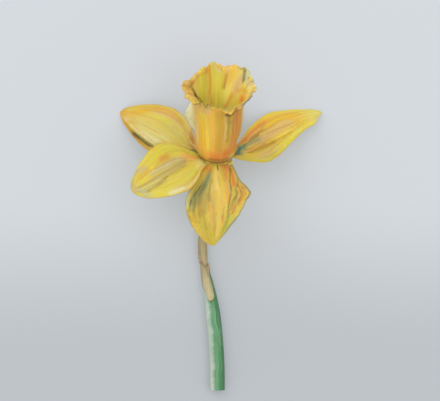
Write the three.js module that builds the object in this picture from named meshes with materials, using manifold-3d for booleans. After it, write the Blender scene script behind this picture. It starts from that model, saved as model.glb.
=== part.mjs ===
import * as THREE from 'three';
import { mergeVertices } from 'three/addons/utils/BufferGeometryUtils.js';
import Module from 'manifold-3d';

// A cut daffodil that lies on a flat surface. Its trumpet rises at a slant, and three petals and the stem
// touch the surface. Lengths are in millimetres and angles in degrees. Flower space has the trumpet's axis
// as its z, with azimuth 0 to the right and azimuth 270 on the side that faces up.

// Driving dimensions
const seatGap = 0.3; // clearance between pieces that touch
const petalThickness = 0.7;
const sheathThickness = 0.6;
const throatPlace = [-1.4, 21.7, 26]; // where the petals and the trumpet spring from the tube
const trumpetRise = 40; // slant of the trumpet's axis above the surface
const trumpetTurn = -2.5; // the axis turns a little to the right
const rootRadius = 7.5; // circle on which the petals' roots stand
const rootLevel = -0.85; // height of that circle along the axis
const tubeFoot = -19.9; // lower end of the floral tube
const ovaryFoot = -31; // lower end of the ovary
const ovaryTop = tubeFoot - seatGap;
const stigmaTop = 23.5;
const stamenCount = 6;
const boreRadius = 2.2; // hollow of the stem
const pedicelRadius = 1.3;

// The petals. Each midrib is a cubic curve from the root circle with three more control points, given as
// distance out from the axis, shift sideways and height along the axis. Widths are whole widths, widest and
// root are shares of the length and of the width, and low and high scale the two sides of the midrib.
const petals = {
  outer_tepal_right: {
    azimuth: 8, midrib: [[15, 0, 0.6], [33.7, 20, -2.8], [52.2, 25, 1.7]],
    width: 24.4, widest: 0.5,
    root: 0.18, shoulder: 1.13, point: 0.72, rise: 1.28, twist: 12, cup: 0.02, wave: 0.8, waves: 1.6,
    phase: 0.1, low: 1.01, high: 1, lowShift: -0.2, highShift: 0.2, curl: 0, colour: '#e9c63a',
  },
  inner_tepal_back: {
    azimuth: 90, midrib: [[20, 0, -1.8], [33.5, 1.6, -2.1], [42.5, 1.2, 10.9]],
    width: 23.5, widest: 0.5,
    root: 0.28, shoulder: 1.8, point: 0.75, rise: 1, twist: 0, cup: 0.14, wave: 0.4, waves: 2,
    phase: 0.3, low: 1, high: 1, lowShift: 0, highShift: 0, curl: 0, colour: '#e8d66a',
  },
  outer_tepal_left: {
    azimuth: 162, midrib: [[15.8, 0, -4.5], [27.9, -5.8, 0.5], [53.8, -15.3, -2.8]],
    width: 26.4, widest: 0.57,
    root: 0.18, shoulder: 1.22, point: 0.68, rise: 1.76, twist: -40, cup: 0.24, wave: 0.5, waves: 1.6,
    phase: 0.6, low: 0.97, high: 1, lowShift: 0.1, highShift: -0.02, curl: 0.15, colour: '#e6c64c',
  },
  inner_tepal_left: {
    azimuth: 209, midrib: [[17.6, 0, 3.5], [35, 3.3, -0.3], [43.9, 0.7, -6.2]],
    width: 30.2, widest: 0.45,
    root: 0.19, shoulder: 1.05, point: 0.61, rise: 1.18, twist: -31, cup: 0.06, wave: 0.6, waves: 1.8,
    phase: 0.2, low: 0.97, high: 1.02, lowShift: -0.06, highShift: 0.03, curl: 0, colour: '#ead44b',
  },
  outer_tepal_front: {
    azimuth: 265.4, midrib: [[34.7, 0, -4.5], [31.4, 2.9, -13.3], [53.2, 4.7, -9.7]],
    width: 30, widest: 0.4,
    root: 0.26, shoulder: 1.55, point: 0.64, rise: 1.05, twist: 27.6, cup: 0.19, wave: 0.6, waves: 2,
    phase: 0, low: 0.77, high: 1.19, lowShift: 0.03, highShift: -0.07, curl: 0, colour: '#e5c43c',
  },
  inner_tepal_under: {
    azimuth: 323, midrib: [[9.3, 0, -7.3], [8, -8.6, -20.8], [3.9, -8.7, -37]],
    width: 17.5, widest: 0.5,
    root: 0.17, shoulder: 2, point: 0.8, rise: 2.28, twist: 0, cup: 0.14, wave: 0.4, waves: 2,
    phase: 0.5, low: 1, high: 1, lowShift: 0, highShift: 0, curl: 0, colour: '#e3cf5c',
  },
};
const petalTip = 0.04; // least half width, as a share of the greatest

// The trumpet: its wall as radius and height, then the frilled rim as radius, height and outward roll at
// twelve even azimuths from azimuth 0
const trumpetWall = [
  [6.8, 0.45], [8, 0.85], [8.8, 1.9], [9.4, 4.5], [9.9, 10],
  [10.4, 17], [11.1, 24.5], [12.6, 31.5], [16, 38],
];
const rimRadius = [16.6, 16, 18.1, 17.3, 14.1, 12.8, 16.6, 13.7, 15.2, 16.4, 17, 15.9];
const rimHeight = [39.5, 38.2, 38.2, 38.5, 40.9, 39.7, 40.6, 40.9, 38.9, 38.2, 35.2, 38];
const rimRoll = [1, 0, 0, 0, 0, 0.3, 2.6, 0.3, 0, 0, 0.5, 1.5];
const ribCount = 12;
const ribDepth = 0.22;
const frill = 0.35;

// The stem and the flower stalk, as points on the centre line with a radius
const scapeLine = [
  [-1.3, -89, 3.55, 3.55], [-1.4, -78, 3.55, 3.55], [-2.1, -65.5, 3.5, 3.5], [-3.3, -54, 3.5, 3.5],
  [-4.2, -46.7, 3.5, 3.05], [-5.25, -39.8, 3.5, 2.4], [-6.05, -35.8, 3.5, 1.95], [-6.55, -33, 3.5, 1.7],
];
const pedicelBend = [
  [-6.6, -32.7, 3.5], [-7, -31, 3.5], [-7.75, -28.4, 3.6],
  [-8.1, -24, 3.6], [-8, -17.5, 3.7], [-6.3, -11, 3.5],
];
const pedicelTurn = 3.9; // length over which the stalk turns into the axis below the ovary

const rad = THREE.MathUtils.degToRad;
const smooth = THREE.MathUtils.smoothstep; // smooth(x, from, to)
const clamp = THREE.MathUtils.clamp;

// Flower space
const head = new THREE.Group();
head.position.set(...throatPlace);
head.rotation.set(rad(trumpetRise - 90), 0, rad(trumpetTurn), 'ZYX');
head.updateMatrix();
const onAxis = (height) => new THREE.Vector3(0, 0, height).applyMatrix4(head.matrix);

// Turns a body's triangles round if they face inwards, and sets its normals
function facingOut(geometry) {
  const place = geometry.attributes.position;
  const index = geometry.index.array;
  const corners = [new THREE.Vector3(), new THREE.Vector3(), new THREE.Vector3()];
  let volume = 0;
  for (let i = 0; i < index.length; i += 3) {
    corners.forEach((corner, k) => corner.fromBufferAttribute(place, index[i + k]));
    volume += corners[0].dot(corners[1].clone().cross(corners[2]));
  }
  if (volume < 0) {
    for (let i = 0; i < index.length; i += 3) {
      const second = index[i + 1];
      index[i + 1] = index[i + 2];
      index[i + 2] = second;
    }
  }
  geometry.computeVertexNormals();
  return geometry;
}

function bodyFrom(points, triangles) {
  const geometry = new THREE.BufferGeometry();
  const numbers = points.flatMap((p) => p.toArray());
  geometry.setAttribute('position', new THREE.Float32BufferAttribute(numbers, 3));
  geometry.setIndex(triangles.flat());
  return facingOut(geometry);
}

// A thin body about the middle surface surface(u, v). Its two faces lie half the thickness off that surface
// and are split into triangles alike, and walls close its free edges. A ring joins up along v.
function sheet(surface, rows, columns, thickness, ring = false) {
  const step = 0.001;
  const lines = ring ? columns : columns + 1;
  const points = [];
  for (const side of [1, -1]) {
    for (let i = 0; i <= rows; i++) {
      for (let j = 0; j < lines; j++) {
        const u = i / rows;
        const v = j / columns;
        const along = surface(Math.min(u + step, 1), v).sub(surface(Math.max(u - step, 0), v));
        const after = ring ? v + step : Math.min(v + step, 1);
        const before = ring ? v - step : Math.max(v - step, 0);
        const across = surface(u, after).sub(surface(u, before));
        const normal = along.cross(across).normalize();
        points.push(surface(u, v).addScaledVector(normal, side * thickness / 2));
      }
    }
  }
  const back = (rows + 1) * lines;
  const at = (i, j) => i * lines + (j % lines);
  const triangles = [];
  for (let i = 0; i < rows; i++) {
    for (let j = 0; j < columns; j++) {
      const [a, b, c, d] = [at(i, j), at(i + 1, j), at(i + 1, j + 1), at(i, j + 1)];
      triangles.push([a, b, c], [a, c, d]);
      triangles.push([back + a, back + c, back + b], [back + a, back + d, back + c]);
    }
  }
  const wall = (a, b) => triangles.push([b, a, back + a], [b, back + a, back + b]);
  for (let j = 0; j < columns; j++) {
    wall(at(0, j + 1), at(0, j));
    wall(at(rows, j), at(rows, j + 1));
  }
  for (let i = 0; i < rows && !ring; i++) {
    wall(at(i, 0), at(i + 1, 0));
    wall(at(i + 1, columns), at(i, columns));
  }
  return bodyFrom(points, triangles);
}

// A round body along a curve. Each profile row is a place on the curve, from 0 to 1, and a radius. The first
// and the last row are single points on the curve.
function turnedAlong(curve, profile, sides, reference) {
  const points = [];
  profile.forEach(([place, radius], row) => {
    const centre = curve.getPoint(place);
    const tangent = curve.getTangent(place);
    const right = new THREE.Vector3().crossVectors(tangent, reference).normalize();
    const up = new THREE.Vector3().crossVectors(right, tangent);
    const count = row === 0 || row === profile.length - 1 ? 1 : sides;
    for (let k = 0; k < count; k++) {
      const angle = 2 * Math.PI * k / sides;
      const rim = centre.clone().addScaledVector(right, count > 1 ? radius * Math.cos(angle) : 0);
      points.push(rim.addScaledVector(up, count > 1 ? radius * Math.sin(angle) : 0));
    }
  });
  const last = points.length - 1;
  const at = (row, k) => 1 + (row - 1) * sides + (k % sides);
  const triangles = [];
  for (let k = 0; k < sides; k++) {
    triangles.push([0, at(1, k + 1), at(1, k)]);
    for (let row = 1; row < profile.length - 2; row++) {
      triangles.push([at(row, k), at(row, k + 1), at(row + 1, k + 1)]);
      triangles.push([at(row, k), at(row + 1, k + 1), at(row + 1, k)]);
    }
    triangles.push([last, at(profile.length - 2, k), at(profile.length - 2, k + 1)]);
  }
  return bodyFrom(points, triangles);
}

// A body turned about the z axis from a profile of radius and height, with its seam joined
function turned(profile, sides) {
  const outline = profile.map(([radius, height]) => new THREE.Vector2(radius, height));
  const geometry = new THREE.LatheGeometry(outline, sides).rotateX(Math.PI / 2);
  geometry.deleteAttribute('normal');
  geometry.deleteAttribute('uv');
  const joined = mergeVertices(geometry, 1e-4);
  const index = [];
  for (let i = 0; i < joined.index.count; i += 3) {
    const corners = [0, 1, 2].map((k) => joined.index.getX(i + k));
    if (new Set(corners).size === 3) index.push(...corners);
  }
  joined.setIndex(index);
  return facingOut(joined);
}

// A body pressed into lobes round the z axis, by a depth that depends on the height
function lobed(geometry, lobes, depth) {
  const place = geometry.attributes.position;
  for (let i = 0; i < place.count; i++) {
    const azimuth = Math.atan2(place.getY(i), place.getX(i));
    const scale = 1 + depth(place.getZ(i)) * Math.cos(lobes * azimuth);
    place.setXY(i, place.getX(i) * scale, place.getY(i) * scale);
  }
  geometry.computeVertexNormals();
  return geometry;
}

function petalHalfWidth(petal, s, shift) {
  const widest = petal.widest + shift;
  const grow = Math.sin(Math.PI / 2 * clamp(s / widest, 0, 1)) ** petal.rise;
  const past = clamp((s - widest) / (1 - widest), 0, 1);
  const taper = (1 - past ** petal.shoulder) ** petal.point;
  return petal.width / 2 * (s < widest ? petal.root + (1 - petal.root) * grow : Math.max(taper, petalTip));
}

// A petal's middle surface in flower space: s runs from root to tip, and v from one margin to the other
function petalSurface(petal) {
  const controls = [[rootRadius, 0, rootLevel], ...petal.midrib].map((p) => new THREE.Vector3(...p));
  // a blade that leaves at a slant stands further out, so that its thickness clears the tube
  const slant = Math.abs(controls[1].z - rootLevel) / controls[1].distanceTo(controls[0]);
  controls[0].x += petalThickness / 2 * slant;
  const circle = controls[0].x;
  const midrib = new THREE.CubicBezierCurve3(...controls);
  const turn = new THREE.Vector3(0, 0, 1);
  return (s, v) => {
    const q = 2 * v - 1;
    const tangent = midrib.getTangent(s);
    const across = new THREE.Vector3(0, 1, 0).addScaledVector(tangent, -tangent.y).normalize();
    across.applyAxisAngle(tangent, rad(petal.twist * s));
    const lift = new THREE.Vector3().crossVectors(tangent, across);
    const [scale, shift] = q < 0 ? [petal.low, petal.lowShift] : [petal.high, petal.highShift];
    const half = petalHalfWidth(petal, s, shift) * scale;
    const angle = 2 * Math.PI * (petal.waves * s + petal.phase + (q > 0 ? 0.27 : 0));
    const cupped = petal.cup * half * q * q;
    const waved = petal.wave * Math.abs(q) ** 3 * Math.sin(angle) * Math.sin(Math.PI * s);
    const rolled = half * petal.curl * smooth(q, 0.55, 1) * Math.sin(Math.PI * s) ** 0.7;
    const point = midrib.getPoint(s);
    point.addScaledVector(across, q * half - 0.35 * rolled);
    point.addScaledVector(lift, (cupped + waved) * smooth(s, 0, 0.3) + rolled);
    const seat = Math.sqrt(Math.max(circle ** 2 - point.y ** 2, 0)) - circle;
    point.x += seat * (1 - smooth(s, 0, 0.16));
    return point.applyAxisAngle(turn, rad(petal.azimuth));
  };
}

// A smooth closed curve through even values round the axis
function aroundAxis(values) {
  const ends = values.map((value) => new THREE.Vector3(value, 0, 0));
  const curve = new THREE.CatmullRomCurve3(ends, true, 'catmullrom', 0.5);
  return (turnShare) => curve.getPoint(turnShare - Math.floor(turnShare)).x;
}

// The trumpet's middle surface in flower space: a ribbed wall that flares into the frilled rim
function trumpetSurface() {
  const wall = new THREE.SplineCurve(trumpetWall.map((p) => new THREE.Vector2(...p)));
  const [endRadius, endHeight] = trumpetWall.at(-1);
  const [reach, crest, roll] = [rimRadius, rimHeight, rimRoll].map(aroundAxis);
  return (s, v) => {
    const azimuth = 2 * Math.PI * v;
    const at = wall.getPoint(s);
    const flare = smooth(s, 0.6, 0.93);
    const lip = smooth(s, 0.87, 1);
    const rib = ribDepth * Math.cos(ribCount * azimuth + 0.4) * smooth(s, 0.2, 0.45) * (1 - flare / 2);
    const out = reach(v) - endRadius + frill * Math.sin(13 * azimuth + 0.5);
    const up = crest(v) - endHeight + frill * Math.sin(17 * azimuth + 1.1);
    const radius = at.x + rib + flare * out + 0.35 * lip * roll(v);
    const height = at.y + flare * up - lip * roll(v);
    return new THREE.Vector3(radius * Math.cos(azimuth), radius * Math.sin(azimuth), height);
  };
}

// Curves of the centre line and of the radius through a list of x, y, z and radius
function taperedLine(knots) {
  const curve = (list) => new THREE.CatmullRomCurve3(list, false, 'catmullrom', 0.5);
  const centre = curve(knots.map(([x, y, z]) => new THREE.Vector3(x, y, z)));
  const radius = curve(knots.map(([, , , r]) => new THREE.Vector3(r, 0, 0)));
  return { centre, radiusAt: (place) => radius.getPoint(place).x };
}

const upward = new THREE.Vector3(0, 0, 1);

// The hollow stem: from the blind end of its bore out through the cut end and back along the outside
function scapeBody() {
  const { centre, radiusAt } = taperedLine(scapeLine);
  const boreEnd = 0.6;
  const profile = [[boreEnd + 0.02, 0], [boreEnd, boreRadius / 2]];
  for (const place of [0.57, 0.4, 0.2, 0]) profile.push([place, boreRadius]);
  const rows = 18;
  for (let i = 0; i <= rows; i++) profile.push([i / rows, radiusAt(i / rows)]);
  profile.push([1, 0]);
  return turnedAlong(centre, profile, 20, upward);
}

const pedicelLine = () => [
  ...pedicelBend.map((p) => [...p, pedicelRadius]),
  [...onAxis(ovaryFoot - seatGap - pedicelTurn).toArray(), pedicelRadius],
  [...onAxis(ovaryFoot - seatGap).toArray(), pedicelRadius],
];

function pedicelBody() {
  const { centre, radiusAt } = taperedLine(pedicelLine());
  const profile = [[0, 0]];
  const rows = 16;
  for (let i = 0; i <= rows; i++) profile.push([i / rows, radiusAt(i / rows)]);
  profile.push([1, 0]);
  return turnedAlong(centre, profile, 12, upward);
}

// The sheath: a papery wrap, open down its right side, over the stem's top and the stalk. Its lower edge
// ends in a tongue on the stem, and its upper edge in a point. One table gives the lower edge's y at each
// place across, from -1 to 1, and the other two give the angle of half the wrap and its radius at each y.
function spatheSurface() {
  const { centre: stalk } = taperedLine([...scapeLine, ...pedicelLine().slice(1)]);
  const table = (rows) => new THREE.SplineCurve(rows.map((row) => new THREE.Vector2(...row)));
  const foot = table([[-1, -45.3], [-0.65, -47.2], [-0.38, -46.3], [-0.15, -42], [0.35, -39.2], [1, -37]]);
  const halfWrap = table([[-48, 90], [-36, 90], [-33, 104], [-30, 128], [-26, 140], [-8, 128]]);
  const radius = table([
    [-49, 3.85], [-46, 3.6], [-43, 3.3], [-40, 3], [-37, 2.65], [-33, 2.3], [-30, 2], [-8, 1.95],
  ]);
  const wrapMiddle = 146;
  // the place on a curve whose x or y rises steadily, where that has the wanted value
  const placeAt = (curve, axis, value) => {
    let [low, high] = [0, 1];
    for (let i = 0; i < 24; i++) {
      const middle = (low + high) / 2;
      if (curve.getPoint(middle)[axis] < value) low = middle;
      else high = middle;
    }
    return low;
  };
  const valueAt = (curve, x) => curve.getPoint(placeAt(curve, 'x', x)).y;
  return (s, v) => {
    const q = 2 * v - 1;
    const lower = valueAt(foot, q);
    const upper = -9 - 7 * Math.abs(q) ** 1.4;
    const y = lower + (upper - lower) * s;
    const place = placeAt(stalk, 'y', y);
    const tangent = stalk.getTangent(place);
    const right = new THREE.Vector3().crossVectors(tangent, upward).normalize();
    const up = new THREE.Vector3().crossVectors(right, tangent);
    const angle = rad(wrapMiddle + q * valueAt(halfWrap, y));
    const reach = valueAt(radius, y) + 0.07 * Math.sin(7 * angle + 0.25 * y);
    const point = stalk.getPoint(place).addScaledVector(right, reach * Math.cos(angle));
    return point.addScaledVector(up, reach * Math.sin(angle));
  };
}

// Ovary, style and stigma in one
function pistilBody() {
  const profile = [
    [0, ovaryFoot], [1.3, ovaryFoot], [2.8, ovaryFoot + 1.5], [3.8, ovaryFoot + 4.5], [3.8, ovaryTop - 3],
    [2.9, ovaryTop - 0.6], [1.6, ovaryTop], [0.8, ovaryTop + 0.5], [0.75, ovaryTop + 12], [0.7, 0],
    [0.7, stigmaTop - 3.2], [1, stigmaTop - 1.8], [1.9, stigmaTop - 0.9], [1.8, stigmaTop - 0.2],
    [0, stigmaTop],
  ];
  const lobeDepth = (height) => {
    if (height < ovaryTop - 1) return 0.07;
    return height > stigmaTop - 2 ? 0.22 : 0;
  };
  return lobed(turned(profile, 18), 3, lobeDepth);
}

// The floral tube's wall, wide at the throat where it carries the petals and the trumpet
const tubeWall = [
  [1.8, tubeFoot], [2.6, tubeFoot], [3.1, -16], [3.8, -10], [5.1, -5.5], [7.2, -2.3], [7.2, -0.15],
  [6.2, -0.15], [5.3, -3], [4.1, -6.2], [2.9, -11], [2.2, -16], [1.8, tubeFoot],
];

// One stamen: a thread rooted in the tube's wall, with a long pollen sac on its top
function stamenBodies(azimuth) {
  const turn = rad(azimuth);
  const at = (radius, height) => new THREE.Vector3(radius * Math.cos(turn), radius * Math.sin(turn), height);
  const thread = new THREE.CatmullRomCurve3([at(4.7, -5.7), at(3.9, -2.5), at(2.8, 5), at(2.9, 13)]);
  const sac = new THREE.LineCurve3(at(2.85, 10.5), at(3.05, 18.5));
  const threadRows = [[0, 0.15], [0.08, 0.3], [0.2, 0.45], [0.5, 0.45], [0.8, 0.45], [1, 0.3]];
  const sacRows = [[0.06, 0.5], [0.2, 0.8], [0.5, 0.9], [0.8, 0.8], [0.94, 0.5]];
  const across = new THREE.Vector3(-Math.sin(turn), Math.cos(turn), 0);
  const sideways = across.clone().applyAxisAngle(upward, 0.35);
  return [
    turnedAlong(thread, [[0, 0], ...threadRows, [1, 0]], 6, across),
    turnedAlong(sac, [[0, 0], ...sacRows, [1, 0]], 8, sideways),
  ];
}

// Joins closed bodies into one
async function joinBodies(bodies) {
  const wasm = await Module();
  wasm.setup();
  const solids = bodies.map((body) => new wasm.Manifold(new wasm.Mesh({
    numProp: 3,
    vertProperties: new Float32Array(body.attributes.position.array),
    triVerts: new Uint32Array(body.index.array),
  })));
  const mesh = solids.reduce((whole, solid) => whole.add(solid)).getMesh();
  const geometry = new THREE.BufferGeometry();
  geometry.setAttribute('position', new THREE.Float32BufferAttribute(mesh.vertProperties, 3));
  geometry.setIndex(Array.from(mesh.triVerts));
  return facingOut(geometry);
}

function floralTubeBody() {
  const stamens = [];
  for (let k = 0; k < stamenCount; k++) stamens.push(...stamenBodies(22.5 + 360 / stamenCount * k));
  return joinBodies([turned(tubeWall, 24), ...stamens]);
}

function piece(name, geometry, colour, roughness) {
  const material = new THREE.MeshStandardMaterial({ color: colour, roughness, metalness: 0 });
  const mesh = new THREE.Mesh(geometry, material);
  mesh.name = name;
  return mesh;
}

head.add(piece('corona', sheet(trumpetSurface(), 18, 60, petalThickness, true), '#e3a52e', 0.5));
head.add(piece('floral_tube', await floralTubeBody(), '#a9b25a', 0.55));
head.add(piece('pistil', pistilBody(), '#7da04b', 0.5));
for (const [name, petal] of Object.entries(petals)) {
  head.add(piece(name, sheet(petalSurface(petal), 18, 10, petalThickness), petal.colour, 0.5));
}

const flower = new THREE.Group();
flower.add(head);
flower.add(piece('scape', scapeBody(), '#5ba06a', 0.45));
flower.add(piece('pedicel', pedicelBody(), '#7fae66', 0.45));
flower.add(piece('spathe', sheet(spatheSurface(), 20, 14, sheathThickness), '#b5a284', 0.8));

// The origin is the middle of the flower's footprint, on the surface that it lies on
flower.updateMatrixWorld(true);
const bounds = new THREE.Box3().setFromObject(flower, true);
const middle = bounds.getCenter(new THREE.Vector3());
flower.position.set(-middle.x, -middle.y, -bounds.min.z);

export default flower;
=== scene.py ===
import math

import bpy
import numpy as np
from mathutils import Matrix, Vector


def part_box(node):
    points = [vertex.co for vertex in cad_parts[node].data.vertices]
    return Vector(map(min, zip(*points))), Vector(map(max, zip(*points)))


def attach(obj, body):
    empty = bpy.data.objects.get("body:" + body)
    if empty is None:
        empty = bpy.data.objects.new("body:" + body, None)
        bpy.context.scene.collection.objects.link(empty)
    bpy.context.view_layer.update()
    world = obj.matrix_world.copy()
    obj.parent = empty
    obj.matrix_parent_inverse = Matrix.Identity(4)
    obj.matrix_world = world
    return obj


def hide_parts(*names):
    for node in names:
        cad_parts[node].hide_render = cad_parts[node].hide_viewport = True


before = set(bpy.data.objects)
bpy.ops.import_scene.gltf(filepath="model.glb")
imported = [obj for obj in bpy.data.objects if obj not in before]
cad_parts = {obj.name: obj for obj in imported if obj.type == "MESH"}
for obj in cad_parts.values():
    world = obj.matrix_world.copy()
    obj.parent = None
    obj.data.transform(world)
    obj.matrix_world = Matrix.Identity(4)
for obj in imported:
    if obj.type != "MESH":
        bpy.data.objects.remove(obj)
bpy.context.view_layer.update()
print("frame loaded")

mm = 0.001

# Where the flower stands. Flower space has the trumpet's axis as z, azimuth 0 to the right and azimuth 270
# on the side that faces up.
place = {
    "throat": (-1.4, 21.7, 26.0),  # where the petals and the trumpet spring from, mm
    "rise": 40.0,  # slant of the trumpet above the floor, degrees
    "turn": -2.5,  # turn to the right, degrees
    "shift": (-0.28989, 13.14917, 0.03516),  # from the stem's measures to the frame, mm
}


# Colour in linear light from a hex text
def linear(text):
    value = np.array([int(text[k:k + 2], 16) / 255 for k in (1, 3, 5)])
    return np.where(value <= 0.04045, value / 12.92, ((value + 0.055) / 1.055) ** 2.4)


# One colour over a whole grid
def plainTint(colour, shape):
    return np.broadcast_to(linear(colour), shape + (3,)).copy()


# A tint moved towards a colour by a share at each place
def blended(tint, colour, share):
    return tint + share[..., None] * (linear(colour) - tint)


# Smooth step: 0 before start, 1 after end, and 3t^2 - 2t^3 between them
def smooth(x, start, end):
    t = np.clip((x - start) / (end - start), 0, 1)
    return t * t * (3 - 2 * t)


# Vectors divided by their lengths
def unit(vectors):
    return vectors / np.maximum(np.linalg.norm(vectors, axis=-1, keepdims=True), 1e-12)


# A bell curve of x about a middle
def bell(x, middle, width):
    return np.exp(-((x - middle) / width) ** 2)


# Degrees from a middle direction to others, from -180 to 180
def turnFrom(middle, degrees):
    return np.mod(degrees - middle + 180, 360) - 180


# Even azimuths once round, in radians
def ringAngles(columns):
    return 2 * np.pi * np.arange(columns) / columns


# Points about the z axis, from radius, azimuth and height
def aroundAxis(radius, azimuth, height):
    return np.stack(np.broadcast_arrays(radius * np.cos(azimuth), radius * np.sin(azimuth), height), -1)


# Grids of s from 0 to 1 by rows and q from -1 to 1 by columns
def placeGrid(rows, columns):
    return np.meshgrid(np.linspace(0, 1, rows + 1), np.linspace(-1, 1, columns + 1), indexing="ij")


# Uneven wave from -1 to 1: five sines of rising pitch and falling height, with fixed phases
def uneven(x, pitch, phase):
    total = np.zeros_like(x, dtype=float)
    for k, (step, height) in enumerate([(1, 0.4), (1.73, 0.27), (2.61, 0.17), (4.37, 0.1), (6.91, 0.06)]):
        total += height * np.sin(2 * np.pi * (pitch * step * x + phase * (k + 1) * 0.37))
    return total


# The same round the axis, with whole numbers of waves so that the ring closes
def unevenRing(azimuth, waves, phase):
    total = np.zeros_like(azimuth, dtype=float)
    for k, (step, height) in enumerate([(1, 0.4), (1.7, 0.27), (2.6, 0.17), (4.4, 0.1), (6.9, 0.06)]):
        total += height * np.sin(round(waves * step) * azimuth + phase * (k + 1) * 2.3)
    return total


# Cubic curve of four control points, and its direction
def cubicCurve(controls, s):
    p = np.asarray(controls, float)
    s = s[..., None]
    r = 1 - s
    point = r**3 * p[0] + 3 * r * r * s * p[1] + 3 * r * s * s * p[2] + s**3 * p[3]
    slope = 3 * r * r * (p[1] - p[0]) + 6 * r * s * (p[2] - p[1]) + 3 * s * s * (p[3] - p[2])
    return point, slope


# One span of a smooth curve through knots: the cubic with half the neighbours' difference as its slopes
def span(p0, p1, p2, p3, w):
    v0, v1 = (p2 - p0) / 2, (p3 - p1) / 2
    cubic = 2 * p1 - 2 * p2 + v0 + v1
    square = -3 * p1 + 3 * p2 - 2 * v0 - v1
    return ((cubic * w + square) * w + v0) * w + p1, (3 * cubic * w + 2 * square) * w + v0


# Smooth curve through rows of knots, and its direction. The first and the last row only steer its ends.
def steeredCurve(p, s):
    last = len(p) - 3
    at = np.clip(s, 0, 1) * last
    i = np.minimum(at.astype(int), last - 1)
    return span(p[i], p[i + 1], p[i + 2], p[i + 3], (at - i)[..., None])


# Smooth curve through rows of knots, with the end rows used twice
def knotCurve(rows, s):
    p = np.asarray(rows, float)
    return steeredCurve(np.vstack([p[:1], p, p[-1:]]), s)[0]


# Smooth curve through rows of knots with its ends carried straight on, and its direction
def pathCurve(rows, s):
    p = np.asarray(rows, float)
    return steeredCurve(np.vstack([2 * p[0] - p[1], p, 2 * p[-1] - p[-2]]), s)


# Smooth closed curve through even values round the axis
def loopCurve(values, share):
    p = np.asarray(values, float)
    count = len(p)
    at = np.mod(share, 1.0) * count
    i = np.floor(at).astype(int) % count
    return span(p[i - 1], p[i], p[(i + 1) % count], p[(i + 2) % count], at - np.floor(at))[0]


# A table of x and value as a smooth curve, read at any x
def tableCurve(rows, x):
    fine = knotCurve(rows, np.linspace(0, 1, 1500))
    return np.interp(x, fine[:, 0], fine[:, 1])


# From flower space to the frame: turned about x, then about z, moved to the throat, in metres
def toFrame(points):
    lean, turn = math.radians(place["rise"] - 90), math.radians(place["turn"])
    aboutX = np.array([[1, 0, 0], [0, math.cos(lean), -math.sin(lean)], [0, math.sin(lean), math.cos(lean)]])
    aboutZ = np.array([[math.cos(turn), -math.sin(turn), 0], [math.sin(turn), math.cos(turn), 0], [0, 0, 1]])
    return (points @ (aboutZ @ aboutX).T + place["throat"] + place["shift"]) * mm


# From the stem's measures to the frame
def stemToFrame(points):
    return (points + place["shift"]) * mm


# Distance in mm from each place (a, b) on a piece to a line between two places on it. The scale is the mm to
# a unit of a and of b, and b is in degrees where it goes around an axis.
def distanceToLine(a, b, line, scale, around=False):
    aFrom, bFrom, aTo, bTo = line
    da = (a - aFrom) * scale[0]
    db = (turnFrom(bFrom, b) if around else b - bFrom) * scale[1]
    la, lb = (aTo - aFrom) * scale[0], (bTo - bFrom) * scale[1]
    share = np.clip((da * la + db * lb) / max(la * la + lb * lb, 1e-9), 0, 1)
    return np.hypot(da - share * la, db - share * lb)


# Lays soft washes over a base colour. A wash is a colour, a line, a width in mm and a strength, and it fades
# from its line as a bell curve.
def washed(base, washes, a, b, scale, around=False):
    tint = plainTint(base, a.shape)
    for colour, line, width, strength in washes:
        tint = blended(tint, colour, strength * bell(distanceToLine(a, b, line, scale, around), 0, width))
    return tint


# Thin lengthwise strokes at random places: each is a wash on a short line that drifts a little sideways.
# Starts and length are in s, spread and sway in the measure across, and width in mm.
def strokes(colours, count, seed, spread=(-0.95, 0.95), sway=0.2, length=(0.06, 0.28), width=(0.22, 0.5),
            starts=(0.03, 0.85)):
    dice = np.random.default_rng(seed)
    rows = []
    for k in range(count):
        start, across = dice.uniform(*starts), dice.uniform(*spread)
        end = min(start + dice.uniform(*length), 0.99)
        drift = across + sway * dice.uniform(-1, 1) * (end - start)
        rows.append((colours[dice.integers(len(colours))], (start, across, end, drift),
                     dice.uniform(*width), dice.uniform(0.2, 0.5)))
    return rows


# Places where washes are read, pushed about a little so that no edge is straight
def loosened(s, q, seed):
    return s + 0.012 * uneven(q + 0.3 * s, 1.1, seed), q + 0.05 * uneven(s + 0.2 * q, 0.9, seed + 5)


# Thickness in metres: the edge's, and towards the full one as the share goes to 1
def wallThickness(look, share):
    return (look["edgeThickness"] + (look["thickness"] - look["edgeThickness"]) * share) * mm


# Turns a closed surface's faces outwards, by the sign of its volume
def closedPart(points, quads, triangles, tint, flow):
    quads = np.asarray(quads, int).reshape(-1, 4)
    triangles = np.asarray(triangles, int).reshape(-1, 3)
    corners = points[np.vstack([quads[:, [0, 1, 2]], quads[:, [0, 2, 3]], triangles])]
    volume = np.sum(corners[:, 0] * np.cross(corners[:, 1], corners[:, 2]))
    if volume < 0:
        quads, triangles = quads[:, ::-1], triangles[:, ::-1]
    return {"points": points, "quads": quads, "triangles": triangles, "tint": tint, "flow": flow}


# Corner numbers of a grid's squares, row by row
def gridQuads(rows, columns, lines):
    i, j = np.meshgrid(np.arange(rows), np.arange(columns), indexing="ij")
    near, far = i * lines + j, i * lines + (j + 1) % lines
    return np.stack([near, near + lines, far + lines, far], -1).reshape(-1, 4)


# Strip of squares between two rows of corner numbers
def strip(first, second):
    return np.stack([first[:-1], second[:-1], second[1:], first[1:]], -1)


# Normals of a grid of points, from its differences along the rows and the columns
def gridNormals(grid, ring):
    along = np.gradient(grid, axis=0)
    if ring:
        across = np.roll(grid, -1, axis=1) - np.roll(grid, 1, axis=1)
    else:
        across = np.gradient(grid, axis=1)
    return unit(np.cross(along, across))


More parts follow.
